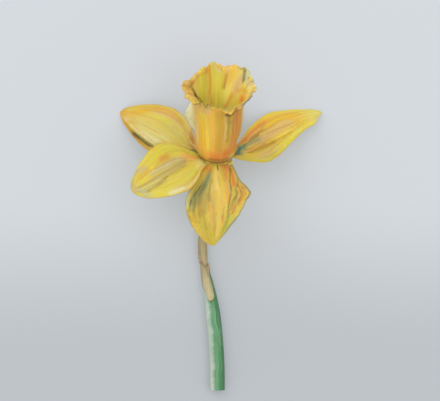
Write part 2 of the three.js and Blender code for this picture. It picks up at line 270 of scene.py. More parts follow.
# A thin closed body about a middle surface: two faces half a thickness off it, and walls on its free edges
def shell(grid, thickness, tints, flows, ring=False):
    offset = gridNormals(grid, ring) * (thickness / 2)[..., None]
    rows, lines = grid.shape[0] - 1, grid.shape[1]
    columns = lines if ring else lines - 1
    number = np.arange((rows + 1) * lines).reshape(rows + 1, lines)
    back = number.size
    face = gridQuads(rows, columns, lines)
    edges = [number[0], number[-1][::-1]]
    if ring:
        edges = [np.append(edge, edge[0]) for edge in edges]
    else:
        edges += [number[::-1, 0], number[:, -1]]
    walls = [strip(edge, edge + back) for edge in edges]
    points = np.concatenate([(grid + offset).reshape(-1, 3), (grid - offset).reshape(-1, 3)])
    quads = np.vstack([face, face[:, ::-1] + back] + walls)
    tint = np.concatenate([tints[0].reshape(-1, 3), tints[1].reshape(-1, 3)])
    flow = np.concatenate([flows[0].reshape(-1, 3), flows[1].reshape(-1, 3)])
    return closedPart(points, quads, [], tint, flow)


# A closed body of rings: each row of the grid is a ring, and a point closes each end
def ringBody(grid, firstPoint, lastPoint, tint, flow):
    rows, lines = grid.shape[0] - 1, grid.shape[1]
    quads = gridQuads(rows, lines, lines)
    ring = np.arange(lines)
    first, last = grid.shape[0] * lines, grid.shape[0] * lines + 1
    top = rows * lines + ring
    triangles = np.vstack([
        np.stack([np.full(lines, first), ring, np.roll(ring, -1)], -1),
        np.stack([np.full(lines, last), np.roll(top, -1), top], -1),
    ])
    points = np.vstack([grid.reshape(-1, 3), [firstPoint], [lastPoint]])
    tint = np.vstack([tint.reshape(-1, 3), tint[0].mean(0)[None], tint[-1].mean(0)[None]])
    flow = np.vstack([flow.reshape(-1, 3), flow[0].mean(0)[None], flow[-1].mean(0)[None]])
    return closedPart(points, quads, triangles, tint, flow)


# Makes an object of a mesh, a light or a camera and links it to the scene
def placed(name, data):
    thing = bpy.data.objects.new(name, data)
    bpy.context.scene.collection.objects.link(thing)
    return thing


# Puts closed bodies into one mesh object, with their colours and their lengthwise measure as attributes. It
# rides on the one body and stands for its node, and the print says how far it goes past the node in mm.
def makePiece(name, parts, skin, node):
    quads, triangles, count = [], [], 0
    for part in parts:
        quads.append(part["quads"] + count)
        triangles.append(part["triangles"] + count)
        count += len(part["points"])
    quads, triangles = np.vstack(quads), np.vstack(triangles)
    points, tint, flow = (np.vstack([part[key] for part in parts]) for key in ("points", "tint", "flow"))
    mesh = bpy.data.meshes.new(name)
    mesh.vertices.add(count)
    mesh.vertices.foreach_set("co", points.astype(np.float32).ravel())
    corners = np.concatenate([quads.ravel(), triangles.ravel()]).astype(np.int32)
    starts = np.concatenate([np.arange(len(quads)) * 4, len(quads) * 4 + np.arange(len(triangles)) * 3])
    mesh.loops.add(len(corners))
    mesh.loops.foreach_set("vertex_index", corners)
    mesh.polygons.add(len(starts))
    mesh.polygons.foreach_set("loop_start", starts.astype(np.int32))
    mesh.polygons.foreach_set("use_smooth", np.ones(len(starts), bool))
    mesh.update(calc_edges=True)
    rgba = np.hstack([np.clip(tint, 0, 1), np.ones((count, 1))]).astype(np.float32)
    mesh.attributes.new("tint", "FLOAT_COLOR", "POINT").data.foreach_set("color", rgba.ravel())
    along = flow.astype(np.float32)
    mesh.attributes.new("flow", "FLOAT_VECTOR", "POINT").data.foreach_set("vector", along.ravel())
    mesh.materials.append(skins[skin])
    piece = placed(name, mesh)
    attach(piece, "root")
    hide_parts(node)
    low, high = (np.array(corner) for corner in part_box(node))
    print(name, "low", np.round((points.min(0) - low) / mm, 2),
          "high", np.round((points.max(0) - high) / mm, 2), "faces", len(starts))


# Fills a node's inputs: a socket is linked to its input, and any other value is set on it
def fillInputs(tree, node, inputs):
    for name, value in inputs.items():
        if isinstance(value, bpy.types.NodeSocket):
            tree.links.new(value, node.inputs[name])
        else:
            node.inputs[name].default_value = value


# A new shader node with its settings and inputs, of which one output comes back
def shaderNode(tree, kind, output, inputs, **settings):
    node = tree.nodes.new("ShaderNode" + kind)
    for key, value in settings.items():
        setattr(node, key, value)
    fillInputs(tree, node, inputs)
    return node.outputs[output]


# Plant skin. The tint attribute gives the colour, and noise drawn out along the piece's length gives broad
# streaks and fine veins. Grain comes from Object coordinates.
def skinMaterial(name, look):
    material = bpy.data.materials.new(name)
    material.use_nodes = True
    tree = material.node_tree

    # Noise with a scale for each axis
    def noise(vector, scale, detail, roughness):
        mapped = shaderNode(tree, "Mapping", "Vector", {"Vector": vector, "Scale": scale})
        return shaderNode(tree, "TexNoise", "Fac", {
            "Vector": mapped, "Scale": 1.0, "Detail": detail, "Roughness": roughness})

    # Most noise lies between 0.28 and 0.72, and that is carried over to low and high
    def ranged(value, low, high):
        return shaderNode(tree, "MapRange", "Result", {
            "Value": value, "From Min": 0.28, "From Max": 0.72, "To Min": low, "To Max": high})

    # Two values, multiplied or added
    def combined(operation, first, second):
        return shaderNode(tree, "Math", "Value", {0: first, 1: second}, operation=operation)

    tint = shaderNode(tree, "Attribute", "Color", {}, attribute_name="tint")
    flow = shaderNode(tree, "Attribute", "Vector", {}, attribute_name="flow")
    solid = shaderNode(tree, "TexCoord", "Object", {})
    wide, long = look["broad"]
    broad = noise(flow, (wide, wide, long), 3, 0.6)
    wide, long = look["veins"]
    veins = noise(flow, (wide, wide, long), 2, 0.55)
    grain = noise(solid, (look["grain"],) * 3, 2, 0.6)
    value = combined("MULTIPLY", ranged(veins, *look["veinValue"]), ranged(grain, *look["grainValue"]))
    value = combined("MULTIPLY", value, ranged(broad, *look["broadValue"]))
    colour = shaderNode(tree, "HueSaturation", "Color", {
        "Color": tint, "Hue": ranged(broad, *look["hue"]),
        "Saturation": ranged(veins, *look["saturation"]), "Value": value})
    height = combined("ADD", veins, combined("MULTIPLY", grain, look["grainHeight"]))
    normal = shaderNode(tree, "Bump", "Normal", {
        "Height": height, "Strength": look["bump"], "Distance": look["depth"]})
    fillInputs(tree, tree.nodes["Principled BSDF"], {
        "Base Color": colour, "Roughness": ranged(grain, *look["roughness"]), "Normal": normal,
        "Subsurface Weight": look["subsurface"], "Subsurface Radius": (1.0, 0.75, 0.25),
        "Subsurface Scale": 0.002, "Specular IOR Level": look["gloss"]})
    return material


# Skins. Broad and veins are noise scales across and along in 1/mm, grain is one in 1/m and depth is in m. The
# other pairs are what the noise runs between. A skin has what the plain one has, unless it says otherwise.
plainSkin = {
    "grain": 1500.0, "hue": (0.49, 0.51), "saturation": (0.95, 1.05), "broadValue": (0.95, 1.05),
    "veinValue": (0.9, 1.07), "grainValue": (0.97, 1.03), "grainHeight": 0.3, "depth": 0.0003, "gloss": 0.3,
}
skinLooks = {
    "petalSkin": {
        "broad": (0.32, 0.03), "veins": (2.1, 0.035), "hue": (0.488, 0.512), "saturation": (0.93, 1.07),
        "roughness": (0.48, 0.66), "bump": 0.55, "subsurface": 0.15,
    },
    "trumpetSkin": {
        "broad": (0.4, 0.04), "veins": (2.3, 0.04), "saturation": (0.94, 1.06),
        "roughness": (0.45, 0.62), "bump": 0.6, "subsurface": 0.35,
    },
    "tubeSkin": {
        "broad": (0.5, 0.05), "veins": (2.0, 0.06), "grain": 2600.0,
        "broadValue": (0.94, 1.05), "veinValue": (0.92, 1.06), "grainValue": (0.94, 1.05),
        "roughness": (0.45, 0.65), "grainHeight": 0.8, "bump": 0.6, "depth": 0.0002, "subsurface": 0.06,
    },
    "ovarySkin": {
        "broad": (0.6, 0.08), "veins": (1.6, 0.12), "grain": 2200.0,
        "broadValue": (0.94, 1.05), "veinValue": (0.93, 1.05), "grainValue": (0.96, 1.04),
        "roughness": (0.35, 0.5), "grainHeight": 0.5, "bump": 0.5, "depth": 0.0002,
        "subsurface": 0.05, "gloss": 0.4,
    },
    "stemSkin": {
        "broad": (0.55, 0.03), "veins": (2.6, 0.03), "grain": 1800.0, "hue": (0.492, 0.508),
        "saturation": (0.92, 1.08), "broadValue": (0.93, 1.06),
        "roughness": (0.38, 0.55), "bump": 0.5, "depth": 0.0002, "subsurface": 0.04, "gloss": 0.4,
    },
    "sheathSkin": {
        "broad": (0.6, 0.04), "veins": (3.2, 0.04), "grain": 2000.0, "hue": (0.494, 0.506),
        "saturation": (0.85, 1.15), "broadValue": (0.9, 1.08), "veinValue": (0.8, 1.12),
        "grainValue": (0.93, 1.06), "roughness": (0.7, 0.9), "grainHeight": 0.6, "bump": 0.8,
        "subsurface": 0.03, "gloss": 0.2,
    },
}
skins = {name: skinMaterial(name, {**plainSkin, **look}) for name, look in skinLooks.items()}
print("materials made")

# The petals. Midrib, widths and waves are the solids' own. s runs from root to tip and q from -1 to 1 across.
# A fold is a line from (s, q) to (s, q) with a width and a height in mm. A lobe is a place in s, a side of q,
# a width in s and how far the outline stands out there in mm. Washes and strokes colour the front, value
# darkens them all, and the margin is a colour and its strength along the edge.
petals = {
    "outer_tepal_right": {
        "piece": "petalOuterRight", "value": 0.95,
        "strokeColours": ["#e09a3e", "#b58a36", "#e4d88c", "#a09c58", "#d8b474", "#e8c03c"],
        "azimuth": 8, "midrib": [(15, 0, 0.6), (33.7, 20, -2.8), (52.2, 25, 1.7)],
        "width": 24.4, "widest": 0.5, "root": 0.18, "shoulder": 1.13, "point": 0.72, "rise": 1.28,
        "twist": 12, "cup": 0.02, "wave": 0.8, "waves": 1.6, "phase": 0.1, "low": 1.01,
        "lowShift": -0.2, "highShift": 0.2,
        "lobes": [(0.89, -1, 0.045, 1.3)],
        "folds": [
            ((0.2, -0.2, 0.68, -0.34), 0.9, -0.55), ((0.1, 0.1, 0.85, 0.05), 1.8, 0.45),
            ((0.25, 0.6, 0.6, 0.5), 1.0, -0.4), ((0.5, 0.3, 0.9, 0.35), 1.2, 0.35),
            ((0.3, -0.7, 0.75, -0.65), 1.5, 0.4),
        ],
        "base": "#dfc04a",
        "washes": [
            ("#c6bb48", (0.12, -0.8, 0.7, -0.8), 3.4, 0.8), ("#e6b42e", (0.55, 0.8, 0.82, 0.4), 4.0, 0.92),
            ("#d6cb68", (0.94, -1, 0.94, 1), 4.6, 0.8), ("#d4b680", (0.42, 0.1, 0.7, 0.18), 2.6, 0.75),
            ("#d4b070", (0.28, -0.6, 0.48, -0.62), 1.9, 0.75),
            ("#dccf4a", (0.45, -0.8, 0.86, -0.72), 2.2, 0.8),
            ("#919a74", (0.22, 0.3, 0.38, 0.22), 2.4, 0.8),
            ("#bfb244", (0.08, -0.95, 0.5, -0.95), 1.6, 0.7),
            ("#dd8a3a", (0.33, 0.62, 0.56, 0.82), 2.0, 0.8), ("#b4743a", (0.36, 0.52, 0.5, 0.5), 1.1, 0.75),
            # Painted shade: the two teal washes at the root, s 0.07 to 0.22, are shade at the foot of the
            # trumpet
            ("#1f7270", (0.07, -0.22, 0.16, 0.5), 3.0, 0.95), ("#5f9a6c", (0.2, 0.05, 0.22, 0.5), 1.5, 0.8),
            ("#cc803e", (0.12, 0.95, 0.3, 0.72), 1.9, 0.85),
            ("#a87820", (0.22, -0.16, 0.48, -0.26), 2.1, 0.85),
            ("#6c6238", (0.22, 0.44, 0.44, 0.4), 0.6, 0.75),
            ("#e2a058", (0.26, 0.95, 0.42, 0.78), 0.7, 0.7),
            ("#b08734", (0.48, -0.28, 0.68, -0.36), 0.5, 0.7),
            ("#6f7a4c", (0.02, -0.5, 0.05, 0.3), 1.6, 0.7), ("#b08c38", (0.5, 0.22, 0.8, 0.02), 0.4, 0.6),
            ("#cfc452", (0.48, 1, 0.9, 0.95), 1.3, 0.65),
        ],
        "margin": ("#d2b444", 0.5),
    },
    "inner_tepal_back": {
        "piece": "petalInnerBack", "value": 0.88,
        "strokeColours": ["#e0a044", "#bfa440", "#ece2a8", "#c4c060"],
        "azimuth": 90, "midrib": [(20, 0, -1.8), (33.5, 1.6, -2.0), (42.4, 1.2, 11.2)],
        "width": 23.5, "widest": 0.5, "root": 0.28, "shoulder": 1.8, "point": 0.75, "rise": 1,
        "cup": 0.14, "wave": 0.4, "waves": 2, "phase": 0.3,
        "lobes": [(0.6, 1, 0.27, 3.2), (0.28, 1, 0.12, 1.5), (0.47, 1, 0.1, 0.9)],
        "folds": [
            ((0.05, 0, 0.8, 0), 0.9, -0.45), ((0.15, 0.4, 0.85, 0.35), 2.0, 0.4),
            ((0.15, -0.4, 0.85, -0.35), 2.0, 0.4),
        ],
        "base": "#dfcf5c",
        "washes": [
            ("#e3dcae", (0.1, 0.9, 0.7, 0.9), 3.4, 0.8), ("#e6b84a", (0, 0, 0.25, 0), 4.0, 0.7),
            ("#c9b44a", (0.2, 0, 0.9, 0), 0.9, 0.7), ("#e7dc72", (0.4, -0.55, 0.8, -0.5), 3.0, 0.6),
            ("#dca24a", (0.96, -0.6, 0.96, 0.6), 2.0, 0.6), ("#ece8c6", (0.15, 1, 0.85, 1), 1.8, 0.9),
        ],
        "margin": ("#e4deb0", 0.4),
    },
    "outer_tepal_left": {
        "piece": "petalOuterLeft", "value": 0.84,
        "strokeColours": ["#e0a03e", "#bfa63e", "#e8dea0", "#c8c25a", "#dcb47a", "#ddd048"],
        "azimuth": 162, "midrib": [(15.8, 0, -4.5), (27.9, -5.8, 0.5), (53.8, -15.3, -2.8)],
        "width": 26.4, "widest": 0.57, "root": 0.18, "shoulder": 1.22, "point": 0.68, "rise": 1.76,
        "twist": -40, "cup": 0.24, "wave": 0.5, "waves": 1.6, "phase": 0.6, "low": 0.97,
        "lowShift": 0.1, "highShift": -0.02, "curl": 0.15,
        "folds": [
            ((0.1, 0, 0.9, 0), 0.8, -0.35), ((0.55, 0.68, 0.84, 0.82), 0.8, -0.5),
            ((0.3, -0.4, 0.85, -0.4), 1.6, 0.4), ((0.4, 0.35, 0.85, 0.4), 1.8, 0.35),
            ((0.45, -0.7, 0.85, -0.68), 0.8, -0.35),
        ],
        "base": "#dcc258",
        "washes": [
            ("#c9b94e", (0.3, -0.3, 0.6, -0.35), 3.4, 0.75),
            ("#dfd684", (0.56, 0.2, 0.86, 0.15), 4.2, 0.75), ("#e9e4b8", (0.6, 0.42, 0.76, 0.5), 1.6, 0.5),
            ("#ddd052", (0.6, -0.4, 0.75, -0.45), 1.7, 0.7),
            ("#d08a3e", (0.18, -0.35, 0.3, -0.85), 3.2, 0.85),
            ("#dfb285", (0.5, -0.72, 0.76, -0.66), 1.2, 0.65),
            ("#e4b036", (0.86, -0.6, 0.93, -0.2), 2.4, 0.9), ("#d8b04a", (0.87, 0.3, 0.93, 0.6), 1.8, 0.7),
            ("#b8a03a", (0.28, -0.5, 0.42, -0.6), 1.4, 0.5),
            ("#d2ca78", (0.46, -0.35, 0.58, -0.42), 1.5, 0.6),
            ("#dda03a", (0.5, 0.97, 0.95, 0.92), 1.7, 0.85),
            ("#78692c", (0.54, 0.66, 0.68, 0.74), 0.7, 0.8), ("#46522e", (0.61, 0.72, 0.8, 0.84), 1.8, 0.9),
            ("#8a6a20", (0.6, 0.78, 0.7, 0.78), 1.0, 0.75), ("#dfa440", (0.98, -0.9, 0.98, 0.9), 1.2, 0.7),
            ("#dfb43c", (0.5, -0.84, 0.92, -0.8), 1.1, 0.75),
            ("#d2963a", (0.5, -0.74, 0.93, -0.66), 0.5, 0.4), ("#d8cf92", (0.3, -1, 0.88, -1), 0.6, 0.85),
            ("#e6c89c", (0.93, 0.2, 0.93, 0.8), 0.7, 0.6), ("#b88a24", (0.8, 0.84, 0.93, 0.82), 1.2, 0.8),
            ("#2f3a26", (0.6, 0.73, 0.79, 0.84), 0.95, 0.85), ("#eadfa6", (0.6, 0.5, 0.86, 0.6), 1.1, 0.6),
            ("#c27a32", (0.19, -0.4, 0.32, -0.9), 2.0, 0.5),
            # Painted shadow: the dark olive wash at the root, s 0.05 to 0.14, where the inner left petal and
            # the trumpet lie over it
            ("#504c22", (0.05, 0.6, 0.14, -0.05), 2.1, 0.85),
            ("#6c5c2c", (0.12, -0.05, 0.26, 0.0), 0.9, 0.7), ("#d6c86a", (0.45, 0.05, 0.9, 0.0), 0.5, 0.5),
        ],
        "margin": ("#cf9a3c", 0.45),
    },
    "inner_tepal_left": {
        "piece": "petalInnerLeft", "value": 0.78,
        "strokeColours": ["#e0a040", "#b09c48", "#e4d684", "#c2b850", "#d4b070", "#e6d03c"],
        "azimuth": 209, "midrib": [(17.6, 0, 3.5), (35, 3.3, -0.3), (43.9, 0.7, -6.2)],
        "width": 30.2, "widest": 0.45, "root": 0.19, "shoulder": 1.05, "point": 0.61, "rise": 1.18,
        "twist": -31, "cup": 0.06, "wave": 0.6, "waves": 1.8, "phase": 0.2, "low": 0.97, "high": 1.02,
        "lowShift": -0.06, "highShift": 0.03,
        "lobes": [(0.86, 1, 0.06, 0.5)],
        "folds": [
            ((0.15, 0, 0.9, 0.1), 0.9, -0.45), ((0.35, 0.17, 0.6, 0.3), 0.8, 0.45),
            ((0.6, 0.3, 0.82, 0.56), 0.8, 0.45), ((0.2, -0.45, 0.8, -0.45), 2.2, 0.5),
            ((0.25, 0.65, 0.75, 0.7), 2.0, 0.4), ((0.3, -0.2, 0.7, -0.24), 0.7, 0.3),
        ],
        "base": "#dfca4c",
        "washes": [
            ("#ddd052", (0.2, 0.62, 0.75, 0.7), 3.0, 0.7), ("#e0d044", (0.2, -0.75, 0.7, -0.75), 3.0, 0.7),
            # Painted light: the pale wash at the root, s 0.08 to 0.1, lightens it where it lies in shade
            ("#f8de82", (0.08, 0.25, 0.1, 0.75), 3.4, 0.85),
            ("#eadaa0", (0.2, 0.97, 0.46, 0.92), 1.3, 0.65),
            ("#f6ac58", (0.03, -0.05, 0.2, -0.2), 2.7, 0.9),
            ("#cebf96", (0.28, -0.13, 0.68, -0.16), 1.6, 0.75),
            ("#a8a478", (0.8, 0.52, 0.88, 0.42), 1.3, 0.6), ("#b39a66", (0.25, -0.02, 0.9, 0.1), 1.1, 0.8),
            ("#b8ac5c", (0.62, 0.3, 0.86, 0.3), 2.2, 0.6), ("#c2b068", (0.3, 0.1, 0.86, 0.24), 1.7, 0.65),
            ("#a8963f", (0.28, 0.2, 0.55, 0.24), 0.6, 0.45),
            ("#a08e40", (0.55, 0.24, 0.82, 0.54), 0.6, 0.75),
            ("#a89064", (0.34, -0.2, 0.62, -0.26), 0.35, 0.6),
            ("#df9a3e", (0.41, -0.38, 0.48, -0.42), 1.8, 0.8),
            # Painted highlight: the near-white wash at s 0.5 to 0.63 on the high edge
            ("#dfb23a", (0.7, -0.4, 0.83, -0.44), 1.9, 0.8), ("#e6e0bc", (0.5, 0.84, 0.63, 0.86), 1.2, 0.7),
            ("#bcbc92", (0.86, 0.8, 0.89, 0.3), 2.4, 0.75), ("#cdb27c", (0.95, -0.8, 0.95, 0.5), 2.3, 0.75),
            ("#cbb98a", (0.72, -0.6, 0.85, -0.95), 2.2, 0.7),
            # Painted light: the pale wash at the root, s 0.07 to 0.16, lightens it where it lies in shade
            ("#cfbe74", (0.62, 0.16, 0.84, 0.26), 1.4, 0.6), ("#f2de8a", (0.07, 0.5, 0.16, 0.6), 2.4, 0.7),
            # Painted shadow: the dark wash at the root of the low edge, s 0.04 to 0.1
            ("#d8ac48", (0.12, -1, 0.4, -1), 0.9, 0.6), ("#66622c", (0.04, -1, 0.1, -0.95), 1.6, 0.8),
            ("#e0aa4c", (0.12, 1, 0.5, 0.98), 1.0, 0.7),
        ],
        "margin": ("#c9a65a", 0.4),
    },
    "outer_tepal_front": {
        "piece": "petalOuterFront", "value": 0.82,
        "strokeColours": ["#dd8e3c", "#8f8444", "#e6d890", "#a8a45a", "#d2a468", "#e8c23e"],
        "azimuth": 265.4, "midrib": [(34.7, 0, -4.5), (31.4, 2.9, -13.3), (53.2, 4.7, -9.7)],
        "width": 30, "widest": 0.4, "root": 0.26, "shoulder": 1.55, "point": 0.64, "rise": 1.05,
        "twist": 27.6, "cup": 0.19, "wave": 0.6, "waves": 2, "phase": 0, "low": 0.77, "high": 1.19,
        "lowShift": 0.03, "highShift": -0.07,
        "lobes": [(0.33, 1, 0.04, 0.6), (0.07, -1, 0.06, 0.9), (0.3, -1, 0.12, 0.8)],
        "folds": [
            ((0.0, 0.2, 0.85, 0.18), 1.9, 0.8), ((0.1, 0.62, 0.55, 0.46), 0.8, -0.5),
            ((0.15, 0.8, 0.6, 0.62), 0.8, -0.4), ((0.15, -0.5, 0.6, -0.66), 1.7, -0.8),
            ((0.3, 0.0, 0.85, 0.0), 0.8, -0.35), ((0.5, -0.4, 0.9, -0.35), 1.6, 0.4),
        ],
        "base": "#d9bf4a",
        "washes": [
            ("#c6b644", (0.5, -0.6, 0.92, -0.4), 4.0, 0.8),
            ("#e5c158", (0.02, 0.22, 0.85, 0.15), 1.9, 0.85),
            ("#ead080", (0.05, 0.1, 0.22, 0.14), 1.2, 0.7),
            ("#d9b262", (0.3, -0.05, 0.78, -0.05), 1.5, 0.8),
            ("#e0913e", (0.02, -0.9, 0.06, -0.25), 1.8, 0.85), ("#e08c3c", (0.02, 0.6, 0.04, 1), 2.0, 0.85),
            ("#e09440", (0.02, 0.75, 0.12, 0.5), 1.1, 0.85), ("#e6a450", (0.1, 0.5, 0.4, 0.36), 1.0, 0.85),
            ("#e3853a", (0.08, 0.84, 0.2, 0.68), 0.9, 0.9), ("#e0a246", (0.2, 0.85, 0.5, 0.84), 1.1, 0.7),
            ("#b0924a", (0.28, -0.2, 0.5, -0.34), 1.4, 0.7),
            ("#a89250", (0.14, -0.1, 0.34, -0.1), 1.3, 0.75),
            ("#b8963f", (0.48, -0.38, 0.76, -0.36), 1.2, 0.65),
            ("#a68e5c", (0.36, 0.62, 0.56, 0.56), 0.8, 0.6),
            ("#d98838", (0.48, 0.66, 0.62, 0.64), 0.8, 0.85), ("#dd9848", (0.6, 0.3, 0.72, 0.36), 0.7, 0.8),
            ("#dccb50", (0.46, 0.9, 0.8, 0.78), 1.5, 0.65), ("#9cb648", (0.64, 0.5, 0.88, 0.6), 1.2, 0.85),
            ("#a3b08c", (0.72, 0.92, 0.92, 0.95), 1.4, 0.75),
            ("#9a8858", (0.16, 0.93, 0.3, 0.95), 0.4, 0.6), ("#94805a", (0.2, 0.76, 0.5, 0.76), 0.3, 0.6),
            ("#f0ca5c", (0.28, 0.88, 0.5, 0.9), 0.9, 0.75), ("#706432", (0.05, 0.88, 0.15, 0.6), 0.35, 0.8),
            ("#706432", (0.15, 0.6, 0.32, 0.44), 0.4, 0.85),
            ("#7c6834", (0.32, 0.44, 0.66, 0.48), 0.35, 0.85),
            ("#8a7238", (0.13, 0.92, 0.24, 0.67), 0.35, 0.75),
            ("#7c6c40", (0.24, 0.67, 0.4, 0.58), 0.35, 0.75),
            ("#a8703a", (0.28, 0.72, 0.44, 0.74), 0.9, 0.75),
            # Painted shade: the dark olive and teal washes on the low side, from s 0.1 to 0.46 and q -0.3 to
            # -0.88, are shade along its fold
            ("#8c9a70", (0.1, -0.3, 0.2, -0.42), 2.2, 0.9),
            ("#8f9458", (0.2, -0.38, 0.36, -0.46), 2.2, 0.75),
            ("#a98f38", (0.36, -0.42, 0.54, -0.5), 1.6, 0.65),
            ("#848a5c", (0.12, -0.4, 0.34, -0.66), 3.0, 0.75),
            ("#767640", (0.16, -0.6, 0.36, -0.74), 1.9, 0.65),
            ("#5a5c30", (0.18, -0.62, 0.4, -0.84), 0.45, 0.75),
            ("#64683a", (0.24, -0.54, 0.46, -0.74), 0.4, 0.7),
            ("#50562e", (0.34, -0.8, 0.46, -0.88), 0.35, 0.7),
            # Painted highlight: the grey wash at s 0.3 to 0.4
            ("#c0be98", (0.3, -0.72, 0.4, -0.8), 0.25, 0.35),
            ("#dd9a48", (0.5, -0.76, 0.62, -0.88), 0.7, 0.6), ("#c4a43e", (0.55, -1, 0.85, -1), 1.0, 0.7),
            ("#4e4a24", (0.0, 0.22, 0.03, 0.25), 0.7, 0.9), ("#4a5c56", (0.02, 1, 0.95, 1), 0.65, 0.85),
            ("#b2b084", (0.18, -1, 0.4, -0.94), 1.1, 0.75), ("#98984e", (0.3, -0.6, 0.46, -0.8), 1.7, 0.55),
            ("#b2943a", (0.45, -0.95, 0.6, -0.93), 1.0, 0.7),
        ],
        "margin": ("#8f9c92", 0.5),
    },
    "inner_tepal_under": {
        "piece": "petalInnerUnder", "value": 0.9,
        "strokeColours": ["#dfa044", "#b8a03e", "#e6dc9c", "#b4b458"],
        "azimuth": 323, "midrib": [(9.3, 0, -7.3), (8, -8.6, -20.8), (3.9, -8.7, -37)],
        "width": 17.5, "widest": 0.5, "root": 0.17, "shoulder": 2, "point": 0.8, "rise": 2.28,
        "cup": 0.14, "wave": 0.4, "waves": 2, "phase": 0.5,
        "folds": [
            ((0.05, 0, 0.92, 0), 0.8, -0.4), ((0.2, 0.45, 0.8, 0.4), 1.6, 0.35),
            ((0.2, -0.45, 0.8, -0.4), 1.6, 0.35),
        ],
        "base": "#dcc652",
        "washes": [
            ("#e09a44", (0, 0, 0.12, 0), 3.0, 0.8), ("#c8b24a", (0.2, 0, 0.9, 0), 0.9, 0.7),
            ("#cfc552", (0.3, 0.5, 0.8, 0.4), 2.4, 0.6), ("#dca048", (0.96, -0.6, 0.96, 0.6), 2.0, 0.6),
        ],
        "margin": ("#dca24a", 0.4),
    },
}
# What the petals share, and what a petal has where it says nothing else. A fade is where a form grows to its
# full height, in s, and the margin's is in q.
petalForm = {
    "twist": 0, "low": 1, "high": 1, "lowShift": 0, "highShift": 0, "curl": 0, "lobes": [],
    "rows": 180, "columns": 96, "rootRadius": 7.5, "rootLevel": -0.85, "solidThickness": 0.7,
    "tip": 0.04, "thickness": 0.62, "edgeThickness": 0.2, "veinCount": 11, "veinHeight": 0.06,
    "ruffle": 0.32, "outline": 0.012, "strokes": 70, "length": 50.0,
    "ruffleWaves": 5.5, "outlineWaves": 4.0, "curlStart": 0.55, "rollIn": 0.35, "seatEnd": 0.16,
    "cupFade": (0, 0.3), "ruffleFade": (0.12, 0.4), "veinFade": (0.05, 0.3), "foldFade": (0.06, 0.2),
    "outlineFade": (0.1, 0.3), "marginFade": (0.94, 1.0), "marginSway": 0.03,
    "backStripes": 26, "stripeStrength": 0.12, "backGreen": "#a3ad4e", "greenStrength": 0.55,
    "backFlow": (0, 40, 0),
}


# Half width along a petal: a sine power that grows from the root to the widest place, then
# (1 - past^shoulder)^point down to the tip
def petalHalfWidth(petal, s, shift):
    widest = petal["widest"] + shift
    grow = np.sin(np.pi / 2 * np.clip(s / widest, 0, 1)) ** petal["rise"]
    past = np.clip((s - widest) / (1 - widest), 0, 1)
    taper = np.maximum((1 - past ** petal["shoulder"]) ** petal["point"], petal["tip"])
    return petal["width"] / 2 * np.where(s < widest, petal["root"] + (1 - petal["root"]) * grow, taper)


# A petal's middle surface: a cubic midrib, moved sideways by q half widths and lifted by a cup q^2, a wave
# |q|^3 sin, a ruffle at the margins, fine veins and folds that fade from their lines as bell curves. One side
# may roll over by its curl, and the root is bent round so that it seats on the tube.
def petalSurface(petal, s, q):
    root = np.array([petal["rootRadius"], 0, petal["rootLevel"]])
    first = np.array(petal["midrib"][0], float)
    slant = abs(first[2] - root[2]) / np.linalg.norm(first - root)
    root[0] += petal["solidThickness"] / 2 * slant
    point, slope = cubicCurve([root] + petal["midrib"], s)
    tangent = unit(slope)
    across = unit(np.array([0.0, 1.0, 0.0]) - tangent * tangent[..., 1:2])
    lift = np.cross(tangent, across)
    twist = np.radians(petal["twist"] * s)[..., None]
    turned = across * np.cos(twist) + lift * np.sin(twist)
    lift = lift * np.cos(twist) - across * np.sin(twist)
    low = petalHalfWidth(petal, s, petal["lowShift"]) * petal["low"]
    high = petalHalfWidth(petal, s, petal["highShift"]) * petal["high"]
    half = np.where(q < 0, low, high)
    for at, side, width, out in petal["lobes"]:
        half = half + out * bell(s, at, width) * (np.sign(q) == side)
    middle = np.sin(np.pi * s)
    angle = 2 * np.pi * (petal["waves"] * s + petal["phase"] + 0.27 * (q > 0))
    up = petal["cup"] * half * q * q + petal["wave"] * np.abs(q) ** 3 * np.sin(angle) * middle
    rolled = half * petal["curl"] * smooth(q, petal["curlStart"], 1) * middle ** 0.7
    up = up * smooth(s, *petal["cupFade"]) + rolled
    seed = petal["azimuth"] / 100
    ruffled = uneven(s + 0.13 * np.sign(q), petal["ruffleWaves"], seed) * np.abs(q) ** 5
    ruffled = ruffled * smooth(s, *petal["ruffleFade"]) * (1 - s**8)
    veins = np.cos(2 * np.pi * petal["veinCount"] * q + 1.5 * uneven(s, 1.2, seed))
    veins = petal["veinHeight"] * veins * smooth(s, *petal["veinFade"]) * (1 - s**6)
    up = up + petal["ruffle"] * ruffled + veins
    for line, width, height in petal["folds"]:
        away = distanceToLine(s, q, line, (petal["length"], petal["width"] / 2))
        up = up + height * bell(away, 0, width) * smooth(s, *petal["foldFade"])
    edge = uneven(s, petal["outlineWaves"], seed + 1 + (q > 0)) * smooth(s, *petal["outlineFade"])
    reach = q * half * (1 + petal["outline"] * edge) - petal["rollIn"] * rolled
    point = point + turned * reach[..., None] + lift * up[..., None]
    seat = np.sqrt(np.maximum(root[0] ** 2 - point[..., 1] ** 2, 0)) - root[0]
    point[..., 0] += seat * (1 - smooth(s, 0, petal["seatEnd"]))
    turn = math.radians(petal["azimuth"])
    x = point[..., 0] * math.cos(turn) - point[..., 1] * math.sin(turn)
    y = point[..., 0] * math.sin(turn) + point[..., 1] * math.cos(turn)
    return np.stack([x, y, point[..., 2]], -1)


